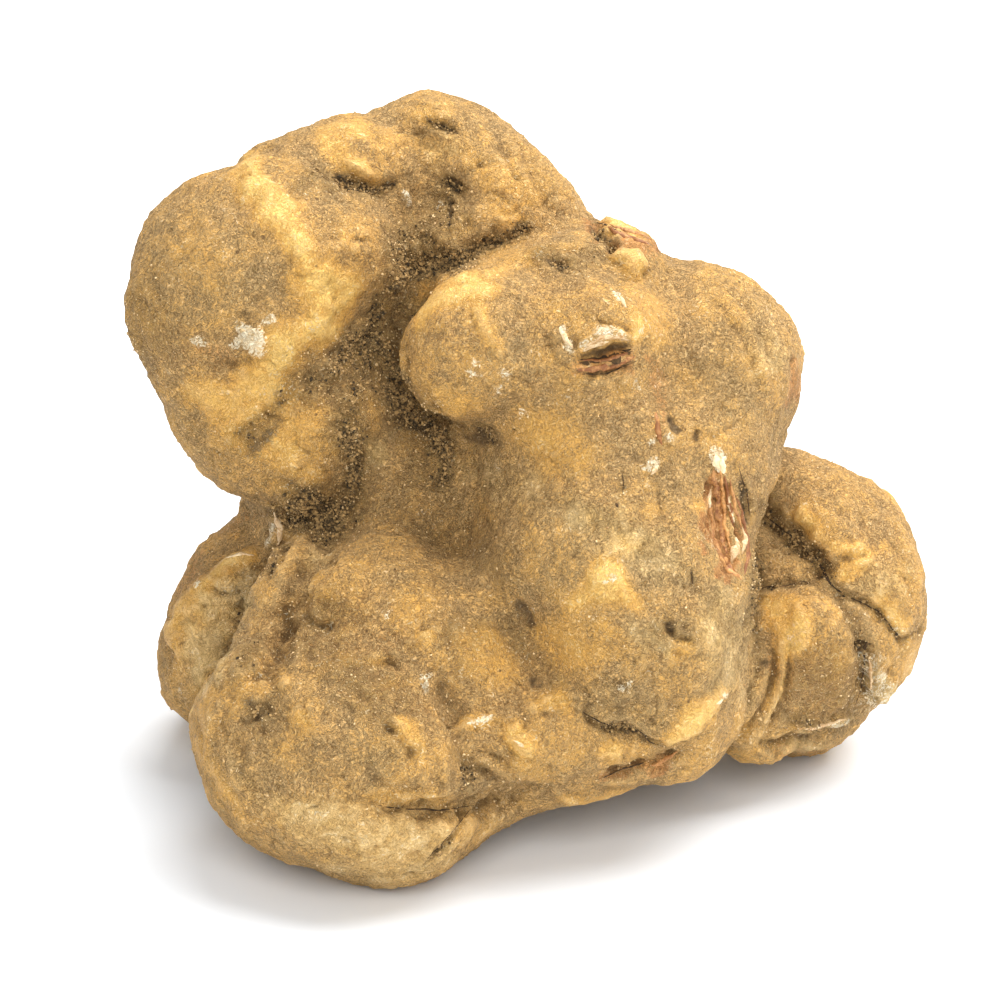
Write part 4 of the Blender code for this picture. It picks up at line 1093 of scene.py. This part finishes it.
def fine_pits(look, places, size=2.6, least=0.62, radius=0.085, edge=0.02):
    """Round dots, one in each cell whose own random value is at least so high, and the higher it
    is the larger its dot."""
    cells = look.fill(look.add("TexVoronoi"), Vector=places, Scale=1 / size)
    parts = look.add("SeparateColor")
    look.give(parts.inputs[0], cells.outputs["Color"])
    own = parts.outputs[0]
    reach = look.times(look.step(own, least, 1.0), radius)
    dot = look.step(look.minus(cells.outputs["Distance"], reach), -edge, edge, 1.0, 0.0)
    return look.times(dot, look.step(own, least, least + 0.04))


def skin_material():
    look = Shading("truffle_skin")
    at = look.places()
    fine = look.noise(at, size=0.46, detail=3.0, roughness=0.62, distortion=1.4)
    grain = look.step(fine, 0.32, 0.68)
    patch = look.noise(at, size=2.8, detail=4.0, roughness=0.6, distortion=0.6)
    off_grain, off_patch = look.minus(grain, 0.5), look.minus(patch, 0.5)

    # Fine worm-like lines, with a glint beside each.
    curl = look.minus(look.noise(at, size=0.80, detail=1.0, roughness=0.5, distortion=2.8), 0.5)
    lines = look.step(look.math("ABSOLUTE", curl), 0.0, 0.06, 1.0, 0.0)
    beside = look.math("ABSOLUTE", look.minus(curl, 0.09))
    glints = look.step(beside, 0.0, 0.035, 1.0, 0.0)

    def uneven(name, grain_share, patch_share):
        """A layer's amount, broken up by the grain and the patches."""
        value = look.math("MULTIPLY_ADD", off_grain, grain_share, look.layer(name))
        return look.math("MULTIPLY_ADD", off_patch, patch_share, value)

    # The flesh: waxy ochre, brighter where it is rubbed most, and creamy in places.
    flesh = look.shades(look.step(uneven("rubbed", 0.5, 1.6), 0.55, 1.35), "flesh")
    flesh = look.tinted(flesh, lines, "flesh line")
    cream = look.shades(look.step(patch, 0.36, 0.64), "cream")
    cream_share = look.step(uneven("cream", 0.3, 0.7), 0.1, 0.9)
    flesh = look.mix(cream_share, flesh, cream)

    # The film of fine soil on it, from greyish khaki to warm tan.
    warm = look.step(uneven("tone", 0.2, 1.4), -0.8, 0.8)
    film_dark, film_light = look.shades(warm, "dark film"), look.shades(warm, "light film")
    film = look.mix(look.math("MULTIPLY_ADD", off_patch, 1.3, grain), film_dark, film_light)
    film = look.tinted(film, lines, "film line")
    film = look.mix(look.times(cream_share, 0.6), film, cream)
    colour = look.mix(look.step(uneven("rubbed", 0.7, 1.2), -0.1, 0.75), film, flesh)
    colour = look.tinted(colour, glints, "glint")

    # Red-brown stains, then packed soil with grains of sand in it.
    stained = look.step(uneven("stain", 0.5, 0.4), 0.2, 0.7)
    colour = look.mix(look.times(stained, 0.8), colour, look.shades(grain, "stain"))
    # Thicker soil is darker, and it is thickest where the solid is most closed in: there this
    # darkening is painted shade as well as soil.
    soil_dark, soil_light = look.shades(grain, "deep soil"), look.shades(grain, "thin soil")
    soil = look.mix(look.step(look.layer("soil"), 0.5, 0.95), soil_light, soil_dark)
    colour = look.mix(look.step(uneven("soil", 0.5, 0.8), 0.15, 0.8), colour, soil)

    # The hollows of the relief are darkened and its tops lightened: dirt and painted shade in the
    # hollows, wear and a painted highlight on the tops.
    colour = look.tinted(colour, look.step(look.layer("pit"), 0.02, 0.24), "hollow_dirt_and_shade")
    colour = look.tinted(colour, look.step(look.layer("pit"), -0.02, -0.16), "top")

    # White scratches, dark spots, and fine pits all over.
    white = look.step(uneven("white", 0.75, 0.85), 0.25, 0.8)
    colour = look.mix(white, colour, look.shades(grain, "white"))
    darkened = look.step(uneven("dark", 0.5, 0.4), 0.2, 0.9)
    colour = look.mix(look.times(darkened, 0.8), colour, look.shades(grain, "dark"))
    colour = look.tinted(colour, fine_pits(look, at), "pit")

    # Clean flesh is glossier and less grainy than soil.
    clean = look.minus(look.layer("rubbed"), look.layer("soil"))
    roughness = look.step(clean, 0.0, 0.9, 0.85, 0.5)
    height = look.math("MULTIPLY_ADD", glints, 0.3, look.math("MULTIPLY_ADD", lines, -0.7, grain))
    height = look.times(height, look.step(clean, -0.8, 0.7, 1.8, 0.35))
    bump = look.fill(look.add("Bump"), Height=height, Distance=0.22 * MM, Strength=1.0)
    look.fill(
        look.shader, Base_Color=colour, Roughness=roughness, Specular_IOR_Level=0.35,
        Normal=bump.outputs[0],
    )
    return look.material


def tinted_material(name, roughness):
    """A mottled material, dark or light as each small body's own tint says."""
    look = Shading(name)
    mottle = look.noise(look.places(), size=0.5, detail=2.0, roughness=0.6, distortion=1.0)
    tint = look.math("MULTIPLY_ADD", look.minus(mottle, 0.5), 2.2, look.layer("tint"))
    look.fill(look.shader, Base_Color=look.shades(tint, name), Roughness=roughness)
    return look.material


def many_bodies(name, corners, faces, tints, material):
    """A piece of many small bodies, with a tint for each of their corners."""
    mesh = bpy.data.meshes.new(name)
    mesh.from_pydata((np.array(corners) * MM).tolist(), [], faces)
    add_layer(mesh, "tint", np.clip(tints, 0, 1))
    mesh.materials.append(material)
    return placed(name, mesh)


# ---------------------------------------------------------------- fibres, flakes and cracks

# Each: half width, thickness, shade from 0 dark to 1 light, and its line.
STRANDS = {
    "scar_fibres": [
        (0.55, 0.30, 0.25, [(21.4, 3.2), (21.7, 0.6), (22.1, -2.4), (22.6, -5.2)]),
        (0.30, 0.40, 0.70, [(22.0, 3.0), (22.3, 0.2), (22.5, -2.6), (23.0, -4.8)]),
        (0.28, 0.45, 0.05, [(22.6, 2.4), (22.9, -0.4), (23.3, -2.6)]),
        (0.26, 0.40, 0.55, [(23.0, 2.2), (23.5, -0.6), (24.2, -2.8)]),
        (0.30, 0.35, 0.00, [(23.6, 0.4), (24.2, -1.6), (24.8, -4.4), (24.4, -6.8)]),
        (0.24, 0.40, 0.45, [(21.2, 1.8), (20.9, -0.8), (21.4, -3.0)]),
        (0.50, 0.22, 0.30, [(21.0, -1.4), (21.4, -3.8), (22.4, -5.8), (23.4, -7.6)]),
        (0.45, 0.20, 0.60, [(22.0, -5.6), (23.2, -7.2), (24.2, -8.0)]),
        (0.30, 0.30, 0.10, [(24.6, -3.0), (24.9, -5.4), (24.5, -7.4)]),
        (0.35, 0.30, 0.20, [(15.6, 8.8), (15.9, 7.2), (16.2, 5.6)]),
        (0.30, 0.25, 0.00, [(8.2, 13.9), (10.2, 13.9), (12.6, 14.8)]),
        (0.40, 0.30, 0.15, [(7.8, 13.0), (9.6, 13.2), (11.6, 13.3), (13.4, 14.4)]),
        (0.45, 0.22, 0.05, [(9.4, 27.7), (11.6, 26.8), (14.6, 25.8), (16.4, 24.8)]),
        (0.30, 0.22, 0.30, [(10.6, 27.7), (12.8, 27.0), (15.2, 26.0)]),
        (0.30, 0.22, 0.30, [(15.0, -26.6), (16.4, -26.0), (17.8, -25.2)]),
    ],
    "pale_flakes": [
        (0.70, 0.30, 0.80, [(21.3, 4.4), (21.8, 3.6), (22.3, 2.6)]),
        (0.25, 0.35, 0.55, [(21.0, 1.0), (20.8, 0.0), (21.1, -1.0)]),
        (0.60, 0.30, 0.30, [(23.0, -1.6), (23.6, -3.4), (23.5, -5.0), (23.0, -6.2)]),
        (0.35, 0.35, 0.35, [(24.2, -2.6), (24.5, -4.0), (24.1, -5.4)]),
        (0.28, 0.45, 0.60, [(22.7, 1.6), (23.1, -0.6), (23.5, -2.2)]),
        (0.35, 0.30, 0.35, [(8.4, 15.4), (10.0, 16.2), (11.6, 16.4), (13.0, 16.0)]),
        (0.40, 0.30, 0.50, [(8.2, 15.0), (9.6, 15.6), (11.0, 15.7)]),
        (0.30, 0.25, 0.60, [(6.0, 17.2), (6.4, 16.2), (7.2, 15.2)]),
        (0.30, 0.25, 0.50, [(11.7, 20.5), (12.6, 19.4)]),
        (0.30, 0.22, 0.40, [(36.8, -15.8), (37.2, -17.8), (36.8, -20.0), (35.8, -21.4)]),
        (0.26, 0.28, 0.35, [(29.8, -23.0), (31.4, -22.9), (33.0, -22.4), (34.8, -21.9)]),
        (0.40, 0.50, 0.45, [(-22.5, -1.2), (-21.8, -2.8), (-22.3, -4.4), (-23.2, -5.4)]),
        (0.25, 0.25, 0.70, [(-27.4, -5.8), (-25.8, -5.4), (-24.6, -5.6)]),
        (0.25, 0.25, 0.60, [(16.0, 3.6), (15.2, 2.6)]),
        (0.25, 0.25, 0.60, [(1.2, -24.0), (2.2, -24.6)]),
        (0.25, 0.25, 0.60, [(21.6, -20.4), (22.4, -19.8), (22.6, -20.8)]),
    ],
    "dark_cracks": [
        (0.55, 0.06, 0.45, [(7.9, 13.6), (9.6, 13.8), (11.6, 14.3), (13.3, 15.0)]),
        (0.14, 0.05, 0.2, [(25.6, -0.6), (27.4, -2.3), (29.2, -3.6), (31.2, -5.9)]),
        (0.22, 0.06, 0.0, [(31.2, -5.6), (32.2, -6.8), (33.2, -8.5), (34.3, -9.4)]),
        (0.12, 0.05, 0.2, [(34.3, -9.4), (36.1, -10.1), (37.6, -10.9), (38.6, -12.1), (40.1, -13.9)]),
        (0.12, 0.05, 0.4, [(25.2, -8.8), (28.0, -8.6), (30.2, -8.1), (31.8, -8.5)]),
        (0.28, 0.06, 0.0, [(36.8, -13.9), (36.4, -15.0), (36.5, -16.0)]),
        (0.12, 0.05, 0.4, [(36.4, -16.0), (36.2, -18.6), (35.4, -20.8)]),
        (0.12, 0.05, 0.3, [(23.9, 3.4), (24.7, 0.8), (24.9, -1.6)]),
        (0.16, 0.06, 0.1, [(8.4, -21.2), (10.1, -22.4), (12.4, -22.8), (14.1, -23.2),
                           (14.8, -24.1), (16.2, -24.6)]),
        (0.14, 0.05, 0.3, [(9.8, -27.9), (12.4, -26.9), (15.0, -26.1)]),
        (0.11, 0.05, 0.4, [(-2.9, -30.8), (-4.6, -33.0), (-7.6, -36.3)]),
        (0.12, 0.05, 0.3, [(-13.0, -30.4), (-9.4, -30.9), (-6.0, -31.0), (-2.0, -30.5)]),
        (0.16, 0.06, 0.1, [(-3.0, 7.4), (-1.5, 7.1), (-0.9, 6.2), (-0.6, 5.4)]),
        (0.14, 0.05, 0.1, [(-15.8, 32.2), (-14.0, 31.4), (-12.0, 31.0), (-10.4, 31.7)]),
        (0.11, 0.05, 0.2, [(-4.9, 29.6), (-5.0, 28.4), (-5.1, 26.8)]),
        (0.13, 0.05, 0.1, [(-7.6, 38.1), (-6.4, 37.7), (-4.9, 37.0), (-4.0, 36.4)]),
        (0.14, 0.05, 0.1, [(-7.9, 23.3), (-5.1, 23.6), (-2.0, 25.2), (0.0, 26.0)]),
        (0.11, 0.05, 0.3, [(12.3, 2.8), (12.5, 1.6), (12.3, 0.6)]),
        (0.30, 0.07, 0.4, [(11.5, -0.3), (11.8, -0.7)]),
        (0.11, 0.05, 0.4, [(19.1, -6.7), (19.3, -8.8)]),
        (0.24, 0.06, 0.0, [(7.8, 13.9), (10.0, 14.1), (12.2, 14.9), (13.4, 15.2)]),
        (0.12, 0.05, 0.2, [(8.2, 12.6), (10.6, 12.6), (13.6, 13.9)]),
        (0.15, 0.05, 0.1, [(8.8, 27.9), (10.4, 27.5), (12.4, 26.7)]),
    ],
}

STRAND_STEP = 0.16  # between the points of a strand's line, and the fewest of them
FEWEST_PLACES = 6
LONGEST_STEP = 0.9  # between two points as they lie on the skin, and the fewest that are laid
FEWEST_POINTS = 4
WIDTH_SHARE, THICKNESS_SHARE = 0.85, 0.55  # of what the table says

# How a strand's line wavers: closely, by a share of its half width, and broadly, by this much. The
# shade picks the part of the noise that it follows.
CLOSE_WAVER, CLOSE_SIZE, CLOSE_SEEDS = 0.5, 1.1, (131, 139)
BROAD_WAVER, BROAD_SIZE, BROAD_SEEDS = 0.16, 2.6, (137, 149)
SHADE_SHIFT = 9

# Across a strand: each line of corners' share of the half width, and its share of the thickness,
# or, where it is below 0, its depth in the skin.
SECTION = ((-1, -0.12), (-0.7, 0.8), (0, 1.0), (0.7, 0.75), (1, -0.12))


def wavering(line, width, shade):
    """Close places along a line on the board, each a little off it."""
    line = np.array(line, float)
    lengths = np.r_[0.0, np.cumsum(np.hypot(*np.diff(line, axis=0).T))]
    count = max(FEWEST_PLACES, int(lengths[-1] / STRAND_STEP))
    far = np.linspace(0, lengths[-1], count)
    places = [np.interp(far, lengths, line[:, axis]) for axis in (0, 1)]
    at = np.stack([*places, np.full(count, shade * SHADE_SHIFT)], axis=1)
    wavered = []
    for place, close, broad in zip(places, CLOSE_SEEDS, BROAD_SEEDS):
        place = place + CLOSE_WAVER * width * noise(at, CLOSE_SIZE, close)
        wavered.append(place + BROAD_WAVER * noise(at, BROAD_SIZE, broad))
    return wavered


def on_skin(tree, across, up):
    """Where places on the board are met on the skin, and which way it faces there. Where they
    jump to a lobe further back, only their longest stretch is kept."""
    found = []
    for a, u in zip(across, up):
        towards = board_middle + board_across * a + board_up * u - eye
        hit, out, _, _ = tree.ray_cast(Vector(eye), Vector(towards).normalized())
        if hit is not None:
            found.append((*hit, *out))
    found = np.array(found).reshape(-1, 6)
    steps = np.linalg.norm(np.diff(found[:, :3], axis=0), axis=1)
    stretches = np.split(found, np.flatnonzero(steps > LONGEST_STEP) + 1)
    longest = max(stretches, key=len)
    return longest[:, :3], longest[:, 3:]


def strands(name, tree, material):
    """Thin raised threads and flakes that lie on the skin along their lines."""
    corners, faces, tints = [], [], []
    for width, thick, shade, line in STRANDS[name]:
        at, out = on_skin(tree, *wavering(line, width, shade))
        count = len(at)
        if count < FEWEST_POINTS:
            continue
        at, out = relaxed_row(at, 1), relaxed_row(out, 4)
        out /= np.linalg.norm(out, axis=1, keepdims=True)
        aside = np.cross(out, np.gradient(at, axis=0))
        aside /= np.linalg.norm(aside, axis=1, keepdims=True)
        taper = tapered(np.linspace(0, 1, count), end=0.01)
        left, right = (1 + 0.8 * noise(at, size=0.6, seed=seed) for seed in (151, 157))
        start = len(corners)
        for side, lift in SECTION:
            here = WIDTH_SHARE * width * taper * (left if side < 0 else right) * side
            rise = np.where(lift > 0, THICKNESS_SHARE * thick * lift * taper, lift)
            corners.extend((at + aside * here[:, None] + out * rise[:, None]).tolist())
        for column in range(len(SECTION) - 1):
            for row in range(count - 1):
                first = start + column * count + row
                faces.append((first, first + 1, first + 1 + count, first + count))
        tint = shade + 0.25 * noise(at, size=0.8, seed=163)
        tints.extend(np.tile(tint, len(SECTION)).tolist())
    piece = many_bodies(name, corners, faces, tints, material)
    shade_smooth(piece.data)
    return piece


# ---------------------------------------------------------------- loose crumbs and sand

OCTAHEDRON = np.array(
    [(1, 0, 0), (-1, 0, 0), (0, 1, 0), (0, -1, 0), (0, 0, 1), (0, 0, -1)], float
)
OCTAHEDRON_FACES = np.array(
    [(0, 2, 4), (2, 1, 4), (1, 3, 4), (3, 0, 4), (2, 0, 5), (1, 2, 5), (3, 1, 5), (0, 3, 5)]
)

LOWEST_CRUMB = 0.8  # no crumb lies lower on the skin than this
LOWEST_CORNER = 0.02
SQUASH = (0.6, 1.3)  # a crumb's least and most stretch along each of its axes
UNEVENNESS = (0.8, 1.2)  # and of each of its corners


def scattered(name, mesh, weight, count, sizes, sink, material):
    """Crumbs on a mesh, more where weight is high, each turned and squashed its own way."""
    points, out = positions(mesh), normals(mesh)
    weight = np.where(points[:, 2] > LOWEST_CRUMB, weight, 0.0)
    mesh.calc_loop_triangles()
    triangles = read(mesh.loop_triangles, "vertices", 3, np.int32)
    sides = points[triangles[:, 1:]] - points[triangles[:, :1]]
    areas = np.linalg.norm(np.cross(*sides.swapaxes(0, 1)), axis=1)
    weight = weight[triangles].mean(axis=1) * areas
    chosen = triangles[chance.choice(len(triangles), size=count, p=weight / weight.sum())]
    share = chance.dirichlet((1, 1, 1), size=count)[:, :, None]
    at, facing = (points[chosen] * share).sum(axis=1), (out[chosen] * share).sum(axis=1)
    size = sizes[0] + (sizes[1] - sizes[0]) * chance.random(count) ** 3
    turn = np.linalg.qr(chance.normal(size=(count, 3, 3)))[0]
    turn[np.linalg.det(turn) < 0, :, 0] *= -1
    ends = len(OCTAHEDRON)
    stretch = chance.uniform(*SQUASH, (count, 1, 3)) * chance.uniform(*UNEVENNESS, (count, ends, 1))
    middles = at + facing * (size * (0.5 - sink))[:, None]
    corners = np.einsum("nij,njk->nik", OCTAHEDRON * stretch, turn) * (size * 0.5)[:, None, None]
    corners = (corners + middles[:, None]).reshape(-1, 3)
    corners[:, 2] = np.maximum(corners[:, 2], LOWEST_CORNER)
    faces = (OCTAHEDRON_FACES + ends * np.arange(count)[:, None, None]).reshape(-1, 3)
    tints = np.repeat(chance.random(count), ends)
    return many_bodies(name, corners, faces.tolist(), tints, material)


# ---------------------------------------------------------------- the pieces

skin = make_skin()
soil = np.clip(read_layer(skin.data, "soil"), 0, 1)
film = np.clip(1 - 1.3 * read_layer(skin.data, "rubbed"), 0, 1)
crumbs = scattered(
    "soil_crumbs", skin.data, np.maximum(soil - 0.4, 0) ** 1.4, count=15000, sizes=(0.14, 0.55),
    sink=0.35, material=tinted_material("soil_crumb", 0.95),
)
sand = scattered(
    "sand_grains", skin.data, 0.05 * film + soil, count=8000, sizes=(0.12, 0.3),
    sink=0.25, material=tinted_material("sand_grain", 0.45),
)

skin_surface = surface(skin.data)
fibres = strands("scar_fibres", skin_surface, tinted_material("fibre", 0.6))
flakes = strands("pale_flakes", skin_surface, tinted_material("flake", 0.6))
cracks = strands("dark_cracks", skin_surface, tinted_material("crack", 1.0))

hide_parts(NODE)
for piece in (skin, crumbs, sand, fibres, flakes, cracks):
    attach(piece, "root")


# ---------------------------------------------------------------- floor, light and camera

FLOOR_REACH = 4.0  # metres, as are the lights' places and sizes
FLOOR_GAP = 0.00005
FLOOR_COLOUR = (0.90, 0.93, 0.96, 1.0)
WHITE_LIGHT = (1.0, 1.0, 1.0, 1.0)
WORLD_STRENGTH = 0.56
SENSOR, LENS = 36.0, 252.0  # millimetres

# Each round light: its name, its place from the truffle's middle, its width and its watts.
LIGHTS = [
    ("key_light", (0.23, 0.19, 0.55), 0.72, 8.4),
    ("front_light", (0.06, -0.68, 0.52), 0.60, 4.0),
]


def aimed(name, data, place, target):
    """An object at the place, facing the target."""
    thing = placed(name, data)
    thing.location = place
    thing.rotation_euler = (target - thing.location).to_track_quat("-Z", "Y").to_euler()
    return thing


floor_mesh = bpy.data.meshes.new("floor")
floor_mesh.from_pydata(
    [(x * FLOOR_REACH, y * FLOOR_REACH, 0) for x, y in ((-1, -1), (1, -1), (1, 1), (-1, 1))],
    [], [(0, 1, 2, 3)],
)
floor = placed("floor", floor_mesh)
floor.location.z = cad_low.z - FLOOR_GAP
plain = Shading("plain_floor")
plain.fill(plain.shader, Base_Color=FLOOR_COLOUR, Roughness=0.9, Specular_IOR_Level=0.1)
floor_mesh.materials.append(plain.material)

world = bpy.data.worlds.new("studio")
bpy.context.scene.world = world
world.use_nodes = True
sky = world.node_tree.nodes["Background"].inputs
sky["Color"].default_value = WHITE_LIGHT
sky["Strength"].default_value = WORLD_STRENGTH

middle = (cad_low + cad_high) / 2
for name, place, size, power in LIGHTS:
    light = bpy.data.lights.new(name, "AREA")
    light.shape = "DISK"
    light.size = size
    light.energy = power
    aimed(name, light, middle + Vector(place), middle)

camera_data = bpy.data.cameras.new("camera")
camera_data.sensor_width = SENSOR
camera_data.lens = LENS
target = Vector((board_middle * MM).tolist())
camera_place = target + Vector((board_out * EYE_DISTANCE * MM).tolist())
bpy.context.scene.camera = aimed("camera", camera_data, camera_place, target)
bpy.context.scene.view_settings.view_transform = "Standard"
